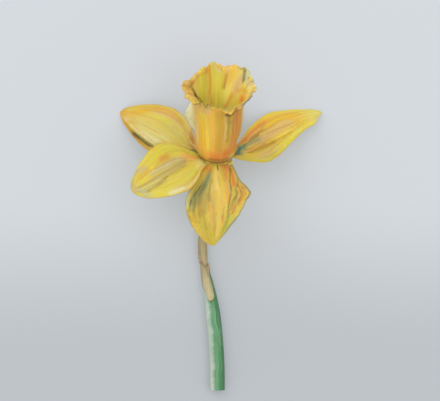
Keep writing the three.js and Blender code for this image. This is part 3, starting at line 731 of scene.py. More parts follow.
# Makes a petal. Its front has the washes and strokes, and its back is half as strong in colour, with faint
# stripes and a green band on the midrib that narrows and fades towards the tip.
def makePetal(node, petal):
    s, q = placeGrid(petal["rows"], petal["columns"])
    half, length = petal["width"] / 2, petal["length"]
    looseS, looseQ = loosened(s, q, petal["azimuth"] / 70)
    marks = petal["washes"] + strokes(petal["strokeColours"], petal["strokes"], int(petal["azimuth"]))
    front = washed(petal["base"], marks, looseS, looseQ, (length, half)) * petal["value"]
    colour, strength = petal["margin"]
    out = np.abs(q) + petal["marginSway"] * uneven(s, 9.0, 2.0)
    front = blended(front, colour, strength * smooth(out, *petal["marginFade"]))
    stripes = 1 + petal["stripeStrength"] * np.cos(petal["backStripes"] * q + 2 * uneven(s, 2.0, 4.0))
    back = 0.5 * front + 0.5 * petal["value"] * linear(petal["base"]) * stripes[..., None]
    green = petal["greenStrength"] * bell(q, 0, 0.1 + 0.5 * (1 - s) ** 2) * (1 - smooth(s, 0.1, 0.9))
    back = blended(back, petal["backGreen"], green)
    flow = np.stack([q * half, np.full_like(q, petal["azimuth"]), s * length], -1)
    thickness = wallThickness(petal, (1 - np.abs(q) ** 6) * (1 - s**10))
    grid = toFrame(petalSurface(petal, s, q))
    part = shell(grid, thickness, (front, back), (flow, flow + petal["backFlow"]))
    makePiece(petal["piece"], [part], "petalSkin", node)


for node, petal in petals.items():
    makePetal(node, {**petalForm, **petal})
print("petals made")

# The trumpet, in mm and degrees. Wall rows are radius and height. The lists go round in steps of 15 degrees
# from azimuth 0: how late the wall flares, how far it is drawn in below that, where the lip's edge is, the
# lip's length and how far it curls over. A pleat is an azimuth, a width and a depth, and a nick is the same
# with a height at the rim. The slim place is an azimuth, a width, a height, its reach up and down, and a
# depth. A fade is where a form grows to its full height, in s. Washes go from (s, azimuth) to (s, azimuth).
trumpet = {
    "rows": 124, "columns": 384, "lipStart": 0.84,
    "wall": [(6.8, 0.45), (8, 0.85), (8.8, 1.9), (9.4, 4.5), (9.9, 10), (10.4, 17), (10.9, 23), (11.3, 29.5),
             (11.6, 36)],
    "flareFoot": 20.0, "nipHeight": 28, "nipReach": 5.5, "wallLean": 0.05,
    "flarePower": [3.4, 3.0, 2.6, 2.2, 1.9, 1.8, 1.7, 1.7, 1.7, 1.7, 1.7, 1.7,
                   1.7, 1.7, 1.7, 1.7, 1.7, 1.7, 1.8, 2.0, 2.4, 3.0, 3.4, 3.6],
    "nip": [0.8, 0.5, 0.3, 0.1, 0, 0, 0, 0, 0, 0, 0, 0,
            0, 0, 0, 0, 0, 0, 0, 0.1, 0.3, 0.6, 0.8, 0.9],
    "edgeRadius": [16.6, 16.0, 16.4, 18.2, 18.3, 17.6, 17.2, 15.9, 14.4, 13.1, 13.2, 15.2,
                   17.0, 16.4, 15.9, 15.4, 15.2, 16.0, 16.2, 17.0, 16.5, 15.9, 15.6, 15.8],
    "edgeHeight": [38.8, 38.4, 38.0, 39.2, 38.2, 38.0, 37.9, 40.6, 40.6, 40.4, 39.7, 38.8,
                   38.2, 37.0, 35.8, 36.2, 38.6, 38.7, 38.0, 36.6, 36.4, 36.9, 37.6, 38.3],
    "lipLength": [2.5, 2.5, 2.5, 2.5, 2.6, 2.6, 2.6, 2.3, 2.1, 2.0, 2.2, 3.2,
                  4.6, 5.6, 5.6, 4.6, 2.4, 2.0, 2.0, 2.4, 2.8, 2.4, 2.2, 2.3],
    "lipCurl": [50, 55, 55, 55, 60, 60, 60, 50, 45, 40, 45, 70,
                110, 140, 145, 115, 50, 45, 50, 85, 95, 85, 80, 60],
    "nicks": [(240, 4, 1.3), (247, 2.5, -1.1), (253, 2.5, 1.1), (260, 3, -0.6), (288, 3.5, -1.4),
              (298, 4, 1.9)],
    "slim": (352, 50, 7.0, 5.2, 1.3),
    "ribCount": 12, "ribDepth": 0.22, "ribPhase": 0.4, "ribFade": (0.2, 0.45),
    "fineRibs": 36, "fineDepth": 0.09, "fineFade": (0.2, 0.5),
    "crinkle": 0.55, "crinkleWaves": (14, 18), "crinkleFade": (0.82, 1),
    "pleatFade": (0.5, 0.85), "nickFade": (0.86, 1), "firstLean": 0.4,
    "thickness": 0.6, "edgeThickness": 0.26,
    "length": 42.0, "mmPerDegree": 0.2, "flowRadius": 11, "outsideFlow": (0, 0, 60),
    "pleats": [(115, 5, -1.0), (83, 4, -0.9), (98, 6, 0.5), (66, 5, 0.5), (48, 4, -0.7), (28, 5, 0.5),
               (140, 7, 0.5), (160, 5, -0.6), (12, 4, -0.6), (290, 3, 0.35), (295, 3, -0.5), (262, 4, -0.4),
               (245, 4, 0.35), (322, 5, -0.4), (212, 5, -0.4)],
    "outside": "#d2a848",
    "outsideWashes": [
        # Painted highlight: the pale peach wash at azimuth 186 to 190 is light on the left edge
        ("#dec490", (0.45, 190, 0.74, 186), 3.6, 0.8), ("#ccba50", (0.76, 212, 0.8, 178), 0.8, 0.6),
        ("#e8be3a", (0.42, 230, 0.76, 230), 2.7, 0.9), ("#eed250", (0.42, 245, 0.76, 245), 0.8, 0.85),
        ("#ecb44a", (0.38, 257, 0.78, 257), 1.3, 0.85), ("#c49c38", (0.42, 276, 0.8, 276), 2.1, 0.85),
        ("#dcc878", (0.53, 291, 0.76, 286), 0.45, 0.85), ("#9a8a34", (0.5, 295, 0.76, 294), 1.0, 0.85),
        ("#8f7430", (0.68, 300, 0.66, 304), 0.6, 0.6), ("#b48a30", (0.45, 308, 0.78, 308), 1.6, 0.85),
        ("#c87a2c", (0.45, 320, 0.74, 320), 1.8, 0.9), ("#b87e36", (0.4, 336, 0.8, 336), 2.4, 0.9),
        ("#c6ae80", (0.42, 358, 0.75, 358), 1.8, 0.75), ("#dcae54", (0.4, 90, 0.9, 90), 12.0, 0.7),
        ("#dca064", (0.4, 178, 0.4, 212), 1.4, 0.8), ("#e4ae50", (0.38, 215, 0.38, 244), 1.3, 0.8),
        ("#ec9c44", (0.34, 244, 0.35, 262), 1.7, 0.9), ("#dc8c3e", (0.33, 262, 0.35, 292), 2.3, 0.9),
        ("#d0782e", (0.37, 292, 0.38, 326), 2.1, 0.9), ("#d08238", (0.38, 328, 0.36, 360), 1.6, 0.85),
        ("#946034", (0.29, 252, 0.29, 304), 0.9, 0.75), ("#cc8c34", (0.44, 300, 0.56, 300), 1.0, 0.6),
        ("#dcc07a", (0.44, 210, 0.6, 212), 1.2, 0.6), ("#dcbc48", (0.66, 214, 0.76, 226), 1.4, 0.6),
        # Painted shade: the dark wash round the foot, s 0.14 to 0.16, where the trumpet meets the petals
        ("#dccc58", (0.73, 224, 0.74, 246), 0.7, 0.65), ("#584020", (0.14, 195, 0.16, 350), 4.4, 0.95),
        ("#c8ac50", (0.9, 232, 0.9, 243), 1.4, 0.8), ("#9a9a4c", (0.84, 247, 1, 248), 0.7, 0.8),
        ("#bcb478", (0.84, 253, 1, 254), 0.9, 0.75), ("#a06a34", (0.84, 303, 1, 309), 1.2, 0.7),
        ("#dfaa40", (0.84, 268, 1, 269), 1.5, 0.85), ("#b89a3c", (0.84, 281, 1, 281), 1.0, 0.8),
        # Painted shadow under the rolled lip: the two dark washes at s 0.77 to 0.8, azimuth 285 to 314
        ("#d6b486", (0.78, 214, 0.79, 256), 0.7, 0.7), ("#4a4620", (0.8, 285, 0.77, 298), 0.6, 0.92),
        ("#6e5228", (0.77, 298, 0.79, 314), 0.6, 0.85),
    ],
    "inside": "#ded262",
    "insideWashes": [
        # Painted light: the pale cream washes deep in the cup, up to s 0.5, lighten it where it lies in shade
        ("#f2e07e", (0, 90, 0.5, 90), 30.0, 0.7), ("#dfb95c", (0, 270, 0.7, 270), 20.0, 0.5),
        ("#f4ea70", (0.5, 125, 0.5, 62), 5.0, 0.7), ("#fff8a8", (0.48, 115, 0.48, 50), 4.0, 0.8),
        ("#d6d650", (0.6, 94, 0.8, 94), 2.6, 0.85), ("#ccca4a", (0.66, 134, 0.79, 130), 2.8, 0.8),
        ("#d4b850", (0.6, 110, 0.8, 114), 1.3, 0.85), ("#e0b64a", (0.9, 160, 0.9, 120), 1.6, 0.8),
        ("#dd9a3c", (0.84, 158, 0.83, 114), 0.45, 0.7), ("#d4a03c", (0.9, 184, 0.9, 168), 2.0, 0.7),
        # Painted shade: the dark lines from s 0.65 to 0.84 at azimuth 138 to 171 are shade in the crease
        # under the rolled left lip
        ("#b8702c", (0.86, 168, 0.96, 164), 0.8, 0.7), ("#4c3e1c", (0.84, 171, 0.76, 167), 0.5, 0.9),
        ("#4c3e1c", (0.76, 167, 0.67, 151), 0.6, 0.95), ("#6a5828", (0.69, 150, 0.65, 138), 0.4, 0.6),
        ("#cf8c2e", (0.84, 117, 1, 115), 0.9, 0.85), ("#d8be4a", (0.86, 108, 1, 109), 1.3, 0.7),
        ("#ecdf9c", (0.83, 98, 0.84, 84), 0.7, 0.75), ("#dcd898", (0.88, 101, 1, 101), 0.7, 0.6),
        ("#dcae58", (0.86, 90, 0.98, 88), 1.2, 0.7), ("#d8963e", (0.86, 82, 0.98, 83), 1.1, 0.75),
        ("#efb468", (0.84, 76, 0.98, 79), 0.7, 0.85), ("#a87c30", (0.73, 82, 0.81, 80), 0.75, 0.85),
        ("#d8a446", (0.78, 71, 0.96, 66), 1.8, 0.6), ("#dcb888", (0.73, 58, 0.8, 46), 2.0, 0.8),
        # Painted shadow of a crinkle near the rim: the two dark blue-grey washes at azimuth 42 to 52
        ("#b0ac78", (0.9, 56, 1, 54), 1.0, 0.7), ("#2c3a38", (0.97, 47, 0.81, 42.5), 0.65, 0.95),
        ("#444c3c", (0.94, 52, 0.9, 46), 0.7, 0.85), ("#a2b298", (1, 40, 0.84, 37), 1.1, 0.85),
        ("#c6b47c", (0.86, 30, 0.92, 8), 2.2, 0.8), ("#666838", (0.9, 32, 0.93, 31), 0.45, 0.8),
        ("#bab26c", (0.93, 29, 1, 27), 0.9, 0.65), ("#72723c", (1, 18, 0.93, 20), 0.5, 0.8),
        ("#868440", (1, 10, 0.97, 8), 0.5, 0.7), ("#d0cc50", (0.76, 40, 0.76, 32), 0.9, 0.8),
        ("#f08c3a", (0.7, 31, 0.77, -8), 1.5, 0.92), ("#dea64a", (0.74, 50, 0.8, 10), 0.6, 0.7),
        ("#dc9c46", (0.58, 72, 0.67, 60), 1.0, 0.8), ("#e6cf58", (0.6, 60, 0.68, 40), 1.3, 0.7),
        ("#a8843a", (0.92, 284, 0.92, 298), 1.6, 0.85), ("#b47838", (0.92, 300, 0.92, 312), 1.6, 0.85),
        ("#cba848", (0.92, 318, 0.92, 342), 1.8, 0.85), ("#d89a48", (0.9, 346, 0.92, 360), 1.6, 0.85),
        # Painted shade: the three dark washes at s 0.85 to 0.9, azimuth 160 to 226, are shade in the crease
        # under the rolled left lip
        ("#c8a640", (0.92, 186, 0.92, 222), 2.6, 0.9), ("#5e4a26", (0.9, 160, 0.85, 172), 0.45, 0.85),
        ("#5e4a26", (0.85, 172, 0.85, 205), 0.45, 0.85), ("#5e4a26", (0.85, 205, 0.9, 226), 0.45, 0.85),
        ("#a87030", (0.89, 172, 0.95, 166), 0.7, 0.6), ("#9c6a2e", (0.93, 188, 0.96, 180), 0.5, 0.6),
        ("#b07c38", (0.9, 194, 0.98, 191), 0.4, 0.5), ("#966c30", (0.9, 207, 0.94, 199), 0.55, 0.6),
        ("#c0923e", (0.96, 212, 0.92, 220), 0.6, 0.5), ("#e6c48e", (0.88, 181, 0.92, 176), 0.5, 0.6),
        ("#b88a3c", (0.97, 176, 0.93, 184), 0.45, 0.5), ("#ccc254", (1, 180, 1, 212), 0.8, 0.65),
        ("#b09038", (0.94, 172, 0.94, 60), 4.4, 0.42), ("#b08c3c", (0.9, 235, 0.9, 172), 3.4, 0.45),
        ("#d8bc90", (0.82, 24, 0.9, 12), 1.6, 0.6), ("#bca43c", (0.84, 122, 0.84, 74), 3.6, 0.3),
    ],
    "rimWashes": [
        ("#c8b64a", (1, 120, 1, 184), 0.7, 0.7), ("#d88c3c", (1, 62, 1, 90), 0.8, 0.75),
        ("#c6c070", (1, 95, 1, 118), 0.7, 0.6), ("#a4ae8a", (1, 34, 1, 56), 0.8, 0.7),
        # Painted shadow: the dark blue-grey edge at azimuth 317 to 338 is shade under the right lip
        ("#c2ae66", (1, 0, 1, 28), 0.8, 0.6), ("#3c5460", (1, 317, 1, 338), 2.2, 0.95),
        ("#b08a44", (1, 340, 1, 358), 0.8, 0.6), ("#bc9238", (1, 152, 1, 222), 1.3, 0.7),
        ("#54491f", (1, 225, 1, 256), 0.8, 0.9), ("#c88c30", (1, 257, 1, 283), 0.9, 0.85),
        ("#c8902f", (1, 285, 1, 300), 1.0, 0.85), ("#b8762e", (1, 302, 1, 313), 1.0, 0.7),
    ],
    "outsideStrokes": {"count": 80, "seed": 31}, "insideStrokes": {"count": 36, "seed": 32},
    "wallStrokes": {
        "colours": ["#e2aa4a", "#c0983c", "#e6d67c", "#b4a446", "#dcb468", "#d68c3c"],
        "spread": (0, 360), "sway": 14, "length": (0.08, 0.35), "width": (0.14, 0.34),
    },
    "rimStrokes": {
        "colours": ["#a8702c", "#8a6e2a", "#ecd48e", "#c8842f"], "count": 110, "seed": 33,
        "spread": (0, 360), "sway": 90, "length": (0.04, 0.1), "width": (0.12, 0.22), "starts": (0.87, 0.95),
    },
}


# How far an arc of a length goes outwards and upwards when it starts at a lean and turns by a curl, or by a
# part of that curl along the same arc
def arcReach(length, lean, curl, part=1.0):
    turned = lean + curl * part
    return length * (np.cos(lean) - np.cos(turned)) / curl, length * (np.sin(turned) - np.sin(lean)) / curl


# The trumpet's middle surface. A turned wall with ribs flares by a power of its height up to the lip's root,
# and the lip is an arc that starts along the wall and curls outwards, so that it ends at the edge's radius
# and height. A few rounds find the lean at which the two meet. Pleats are bell curves in azimuth, and
# crinkles grow towards the edge.
def trumpetSurface(s, azimuth):
    degrees = np.degrees(azimuth)
    edgeRadius, edgeHeight, length, curl, power, nip = (
        loopCurve(trumpet[key], azimuth / (2 * np.pi))
        for key in ("edgeRadius", "edgeHeight", "lipLength", "lipCurl", "flarePower", "nip"))
    curl = np.radians(curl)
    endRadius, endHeight = trumpet["wall"][-1]
    steep = power / (endHeight - trumpet["flareFoot"])
    lean = np.full_like(s, trumpet["firstLean"])
    for _ in range(6):
        out, up = arcReach(length, lean, curl)
        rootRadius, rootHeight = edgeRadius - out, edgeHeight - up
        flared = steep * (rootRadius - endRadius) + trumpet["wallLean"]
        lean = np.arctan(flared / np.maximum(1 + steep * (rootHeight - endHeight), 0.4))
    wall = knotCurve(trumpet["wall"], s / trumpet["lipStart"])
    level = wall[..., 1]
    lip = np.clip((s - trumpet["lipStart"]) / (1 - trumpet["lipStart"]), 0, 1)
    flare = np.clip((level - trumpet["flareFoot"]) / (endHeight - trumpet["flareFoot"]), 0, 1) ** power
    out, up = arcReach(length, lean, curl, lip)
    radius = wall[..., 0] + flare * (rootRadius - endRadius) + out
    radius = radius - nip * bell(level, trumpet["nipHeight"], trumpet["nipReach"])
    height = level + flare * (rootHeight - endHeight) + up
    middle, width, slimHeight, slimReach, depth = trumpet["slim"]
    radius = radius - depth * bell(turnFrom(middle, degrees), 0, width) * bell(level, slimHeight, slimReach)
    ribs = trumpet["ribDepth"] * np.cos(trumpet["ribCount"] * azimuth + trumpet["ribPhase"])
    radius = radius + ribs * smooth(s, *trumpet["ribFade"]) * (1 - lip)
    fine = trumpet["fineDepth"] * np.cos(trumpet["fineRibs"] * azimuth)
    radius = radius + fine * smooth(s, *trumpet["fineFade"])
    for middle, width, depth in trumpet["pleats"]:
        pleat = depth * bell(turnFrom(middle, degrees), 0, width)
        radius = radius + pleat * smooth(s, *trumpet["pleatFade"])
    for middle, width, rise in trumpet["nicks"]:
        nick = rise * bell(turnFrom(middle, degrees), 0, width)
        height = height + nick * smooth(s, *trumpet["nickFade"])
    crinkled = trumpet["crinkle"] * smooth(s, *trumpet["crinkleFade"])
    radius = radius + crinkled * unevenRing(azimuth, trumpet["crinkleWaves"][0], 1.0)
    height = height + crinkled * unevenRing(azimuth, trumpet["crinkleWaves"][1], 2.0)
    return aroundAxis(radius, azimuth, height)


# Washes are read at places pushed about a little. Both sides end with the rim's washes, and only the inside
# has the rim's strokes. The shell's first face is the inner one.
places = np.linspace(0, 1, trumpet["rows"] + 1)
s, azimuth = np.meshgrid(places, ringAngles(trumpet["columns"]), indexing="ij")
looseS = s + 0.012 * unevenRing(azimuth, 9, 0.4)
looseDegrees = np.degrees(azimuth) + 2.2 * uneven(s + 0.02 * np.sin(3 * azimuth), 2.2, 1.7)
tints = []
for side, ownStrokes in (("inside", strokes(**trumpet["rimStrokes"])), ("outside", [])):
    marks = trumpet[side + "Washes"] + strokes(**trumpet[side + "Strokes"], **trumpet["wallStrokes"])
    marks = marks + ownStrokes + trumpet["rimWashes"]
    scale = (trumpet["length"], trumpet["mmPerDegree"])
    tints.append(washed(trumpet[side], marks, looseS, looseDegrees, scale, True))
flow = aroundAxis(trumpet["flowRadius"], azimuth, s * trumpet["length"])
grid = toFrame(trumpetSurface(s, azimuth))
flows = (flow, flow + trumpet["outsideFlow"])
wall = shell(grid, wallThickness(trumpet, 1 - s**6), tints, flows, ring=True)
makePiece("trumpet", [wall], "trumpetSkin", "corona")
print("trumpet made")

# The floral tube and its stamens. Rows are radius and height, and the thread's section is place and radius.
tube = {
    "outer": [(2.6, -19.9), (3.1, -16), (3.8, -10), (5.1, -5.5), (7.2, -2.3)],
    "rim": [(7.2, -1.6), (7.2, -0.8), (7.2, -0.15), (6.9, -0.15), (6.5, -0.15)],
    "inner": [(6.2, -0.15), (5.3, -3), (4.1, -6.2), (2.9, -11), (2.2, -16), (1.8, -19.9)],
    "foot": [(2.0, -19.9), (2.3, -19.9)],
    "rows": 40, "columns": 96, "ridges": 6, "ridge": 0.07, "flowRadius": 4,
    "base": "#b9c25c", "throatTint": "#ddb548", "throatFade": (-9, -1),
    "footTint": "#86a650", "footFade": (-20, -14),
    "stamens": 6, "firstStamen": 22.5,
    "thread": [(4.7, -5.7), (3.9, -2.5), (2.8, 5), (2.9, 13)], "threadColumns": 14, "threadTint": "#d9cf6a",
    "threadSection": [(0, 0.15), (0.08, 0.3), (0.2, 0.42), (0.5, 0.42), (0.8, 0.42), (1, 0.3)],
    "sac": [(2.85, 10.5), (3.05, 18.5)], "sacRadius": 0.88, "sacRows": 14, "sacColumns": 24,
    "sacTint": "#dd9c2c", "sacSeam": "#8f6420",
}


# Rows of place, radius and height of the ridges
def bodyRows(places, radius, ridge=0.0):
    return np.stack(np.broadcast_arrays(places, radius, ridge), -1)


# Two directions square to a curve, the first of them square to the reference too
def squareTo(slope, reference):
    tangent = unit(slope)
    right = unit(np.cross(tangent, np.asarray(reference, float)))
    return right, np.cross(right, tangent)


# A round body along a curve, from rows of place, radius and height of its ridges, with a point at each end.
# The rings' angles start at the side that is square to the curve and to the reference.
def roundAlong(curve, rows, columns, reference, tintOf, moved, ridges=0):
    rows = np.asarray(rows, float)
    centre, slope = curve(rows[:, 0])
    right, up = squareTo(slope, reference)
    angle = ringAngles(columns)
    ring = np.cos(angle)[None, :, None] * right[:, None] + np.sin(angle)[None, :, None] * up[:, None]
    radius = rows[:, 1:2] * np.ones(columns)
    if ridges:
        radius = radius + rows[:, 2:3] * np.cos(ridges * angle)
    grid = centre[:, None] + radius[..., None] * ring
    along, degrees = np.broadcast_arrays(rows[:, :1], np.degrees(angle))
    length = np.concatenate([[0], np.cumsum(np.linalg.norm(np.diff(centre, axis=0), axis=1))])
    flow = aroundAxis(radius, angle, length[:, None])
    return ringBody(moved(grid), moved(centre[0]), moved(centre[-1]), tintOf(along, degrees, radius), flow)


# A stamen's thread has one colour
def threadTint(along, degrees, radius):
    return plainTint(tube["threadTint"], along.shape)


# A pollen sac has a dark seam down each side
def sacTint(along, degrees, radius):
    seam = 0.6 * (bell(degrees, 90, 14) + bell(degrees, 270, 14))
    return blended(plainTint(tube["sacTint"], along.shape), tube["sacSeam"], seam)


# The tube is a closed loop of outside, rim, inside and foot, turned about the axis, with low ridges
outer, inner = (knotCurve(tube[key], np.linspace(0, 1, tube["rows"])) for key in ("outer", "inner"))
rows = np.vstack([outer, tube["rim"], inner, tube["foot"]])
azimuth = ringAngles(tube["columns"])
radius = rows[:, :1] + tube["ridge"] * np.cos(tube["ridges"] * azimuth)
height = rows[:, 1:2] + 0 * azimuth
tint = plainTint(tube["base"], height.shape)
tint = blended(tint, tube["throatTint"], 0.8 * smooth(height, *tube["throatFade"]))
tint = blended(tint, tube["footTint"], 0.7 * (1 - smooth(height, *tube["footFade"])))
quads = gridQuads(len(rows), tube["columns"], tube["columns"]) % height.size
grids = (toFrame(aroundAxis(radius, azimuth, height)), tint, aroundAxis(tube["flowRadius"], azimuth, height))
points, tint, flow = (grid.reshape(-1, 3) for grid in grids)
parts = [closedPart(points, quads, [], tint, flow)]
places = np.linspace(0.02, 0.98, tube["sacRows"])
sacRows = bodyRows(places, tube["sacRadius"] * (1 - np.abs(2 * places - 1) ** 2.6) ** 0.5)
for k in range(tube["stamens"]):
    turn = math.radians(tube["firstStamen"] + 360 / tube["stamens"] * k)
    thread, sac = (
        [aroundAxis(radius, turn, height) for radius, height in tube[key]] for key in ("thread", "sac"))
    sideways = (-math.sin(turn), math.cos(turn), 0)
    parts.append(roundAlong(lambda u: pathCurve(thread, u), tube["threadSection"], tube["threadColumns"],
                            sideways, threadTint, toFrame))
    parts.append(roundAlong(lambda u: pathCurve(sac, u), sacRows, tube["sacColumns"],
                            sideways, sacTint, toFrame))
makePiece("tube_and_stamens", parts, "tubeSkin", "floral_tube")
print("tube and stamens made")

# Ovary, style and three-lobed stigma in one. Rows are radius and height. The ovary has three grooves, each
# steep on one side.
pistil = {
    "foot": [(0.3, -31), (0.55, -31), (0.8, -31), (1.05, -31)],
    "rows": [(1.3, -31), (2.8, -29.5), (3.8, -26.5), (3.8, -23.2), (2.9, -20.8), (1.6, -20.2), (0.8, -19.7),
             (0.75, -8.2), (0.7, 0), (0.7, 20.3), (1, 21.7), (1.9, 22.6), (1.8, 23.3)],
    "crown": [(1.4, 23.42), (0.8, 23.48)], "bottom": -31.0, "top": 23.5, "count": 120, "columns": 60,
    "lobes": 3, "ovaryTop": -21.2, "ovaryLobe": 0.07, "groove": 0.05, "grooveWidth": 7,
    "stigmaFoot": 21.5, "stigmaLobe": 0.22,
    "base": "#79a04a", "styleTint": "#cfd07a", "styleFade": (-21.5, -19),
    "stigmaTint": "#d6c25c", "stigmaFade": (20.5, 22), "flowRadius": 3,
}
profile = knotCurve(pistil["rows"], np.linspace(0, 1, pistil["count"]))
rows = np.vstack([pistil["foot"], profile, pistil["crown"]])
azimuth = ringAngles(pistil["columns"])
height = rows[:, 1:2] + 0 * azimuth
ovary, stigma = height < pistil["ovaryTop"], height > pistil["stigmaFoot"]
lobe = pistil["ovaryLobe"] * ovary + pistil["stigmaLobe"] * stigma
step = 360 / pistil["lobes"]
turned = np.mod(np.degrees(azimuth) + step / 2, step)
groove = 1 - pistil["groove"] * bell(turned, step, pistil["grooveWidth"]) * ovary
radius = rows[:, :1] * (1 + lobe * np.cos(pistil["lobes"] * azimuth)) * groove
tint = plainTint(pistil["base"], height.shape)
tint = blended(tint, pistil["styleTint"], smooth(height, *pistil["styleFade"]))
tint = blended(tint, pistil["stigmaTint"], smooth(height, *pistil["stigmaFade"]))
ends = [toFrame(np.array([0, 0, pistil[key]])) for key in ("bottom", "top")]
flow = aroundAxis(pistil["flowRadius"], azimuth, height)
body = ringBody(toFrame(aroundAxis(radius, azimuth, height)), *ends, tint, flow)
makePiece("pistil_skin", [body], "ovarySkin", "pistil")
print("pistil made")

# The hollow stem. Rows of its line are x, y, z and radius in mm. The bore's end and the cut face are rows of
# place, radius and height of the ridges, and washes go from (place, degrees round) to the same.
scape = {
    "line": [(-1.3, -89, 3.55, 3.55), (-1.4, -78, 3.55, 3.55), (-2.1, -65.5, 3.5, 3.5), (-3.3, -54, 3.5, 3.5),
             (-4.2, -46.7, 3.5, 3.05), (-5.25, -39.8, 3.5, 2.4), (-6.05, -35.8, 3.5, 1.95),
             (-6.55, -33, 3.5, 1.7)],
    "bore": 2.2, "boreLength": 0.57, "boreRows": 30,
    "boreEnd": [(0.62, 0.3, 0), (0.61, 0.8, 0), (0.6, 1.1, 0)],
    "face": [(0, 2.35, 0), (0, 2.6, 0), (0, 2.9, 0), (0, 3.2, 0), (0, 3.42, 0), (0.0006, 3.51, 0),
             (0.0018, 3.55, 0.035)],
    "columns": 96, "rows": 150, "ridges": 15, "ridge": 0.035, "length": 56.0, "mmPerDegree": 0.06,
    "facePlace": 0.002, "faceFade": (-3.35, -3.2), "borePlace": 0.65, "boreFade": 2.25,
    "base": "#40754b",
    "strokes": {
        "colours": ["#2f6044", "#6aa070", "#8fb090", "#3f7c4c", "#4f8a58"], "count": 130, "seed": 41,
        "spread": (-15, 130), "sway": 40, "length": (0.05, 0.3), "width": (0.1, 0.26),
    },
    # Pale strokes round the left and under side, which add to the painted highlight on the left
    "backStrokes": {
        "colours": ["#a9b9a6", "#7fa27c", "#56885c", "#c2ccb8"], "count": 60, "seed": 42,
        "spread": (150, 330), "sway": 40, "length": (0.05, 0.3), "width": (0.12, 0.3),
    },
    "washes": [
        # Painted light: the pale washes at 178 and 136 degrees are a painted highlight on the left side, and
        # the dark wash at 8 to 12 degrees is painted shade on the right edge
        ("#c3cbc0", (0, 178, 1, 172), 1.7, 0.95), ("#bcc8b8", (0, 136, 1, 132), 1.6, 0.9),
        ("#8fa38c", (0.5, 112, 0.85, 108), 0.5, 0.5), ("#35664a", (0, 8, 0.95, 12), 1.3, 0.9),
        ("#437c52", (0, 60, 0.25, 55), 1.0, 0.6), ("#4c8258", (0.25, 78, 0.9, 74), 0.8, 0.6),
        ("#5f9468", (0, 88, 0.5, 84), 0.6, 0.6), ("#6f9462", (0, 270, 1, 270), 4.0, 0.6),
        ("#8a9c6c", (0.9, 90, 1, 90), 4.0, 0.5),
    ],
    "cut": "#c9d3a4",
}


# The stem's line without its radius, and the line's direction
def scapeCurve(u):
    return tuple(part[..., :3] for part in pathCurve(scape["line"], u))


# Washes and strokes outside, and the pale cut colour on the face at the foot and on the bore's wall
def scapeTint(along, degrees, radius):
    loose = degrees + 9 * uneven(along, 6.0, 0.9) + 3 * uneven(along, 31.0, 0.2)
    marks = scape["washes"] + strokes(**scape["strokes"]) + strokes(**scape["backStrokes"])
    tint = washed(scape["base"], marks, along, loose, (scape["length"], scape["mmPerDegree"]), True)
    face = smooth(-radius, *scape["faceFade"]) * (along < scape["facePlace"])
    bore = (radius < scape["boreFade"]) * (along < scape["borePlace"])
    return blended(tint, scape["cut"], np.clip(face + bore, 0, 1))


# Rows run from the bore's end down to the cut face, and up the outside, where the ridges are
bore = bodyRows(np.linspace(scape["boreLength"], 0, scape["boreRows"]), scape["bore"])
places = np.linspace(0, 1, scape["rows"] + 1)[1:]
radius = pathCurve(scape["line"], places)[0][:, 3]
outside = bodyRows(places, radius - scape["ridge"], scape["ridge"])
rows = np.vstack([scape["boreEnd"], bore, scape["face"], outside])
body = roundAlong(scapeCurve, rows, scape["columns"], (0, 0, 1), scapeTint, stemToFrame, scape["ridges"])
makePiece("stem", [body], "stemSkin", "scape")
print("stem made")

# The flower stalk, which turns into the axis below the ovary
pedicel = {
    "bend": [(-6.6, -32.7, 3.5), (-7, -31, 3.5), (-7.75, -28.4, 3.6), (-8.1, -24, 3.6), (-8, -17.5, 3.7),
             (-6.3, -11, 3.5)],
    "radius": 1.3, "ends": (-35.2, -31.3), "columns": 48, "rows": 90, "ridges": 8, "ridge": 0.03,
    "base": "#83ae66", "foot": "#a9ac76", "top": "#6f9c4c",
}
onAxis = [toFrame(np.array([0.0, 0.0, height])) / mm - place["shift"] for height in pedicel["ends"]]
stalkLine = [np.array(point, float) for point in pedicel["bend"]] + onAxis


# Duller in the sheath, and a fuller green towards the ovary
def stalkTint(along, degrees, radius):
    dull = 0.7 * (1 - smooth(along, 0, 0.5))
    tint = blended(plainTint(pedicel["base"], along.shape), pedicel["foot"], dull)
    return blended(tint, pedicel["top"], 0.5 * smooth(along, 0.8, 1))


rows = bodyRows(np.linspace(0, 1, pedicel["rows"] + 1), pedicel["radius"], pedicel["ridge"])
body = roundAlong(lambda u: pathCurve(stalkLine, u), rows, pedicel["columns"], (0, 0, 1), stalkTint,
                  stemToFrame, pedicel["ridges"])
makePiece("stalk", [body], "stemSkin", "pedicel")
print("stalk made")

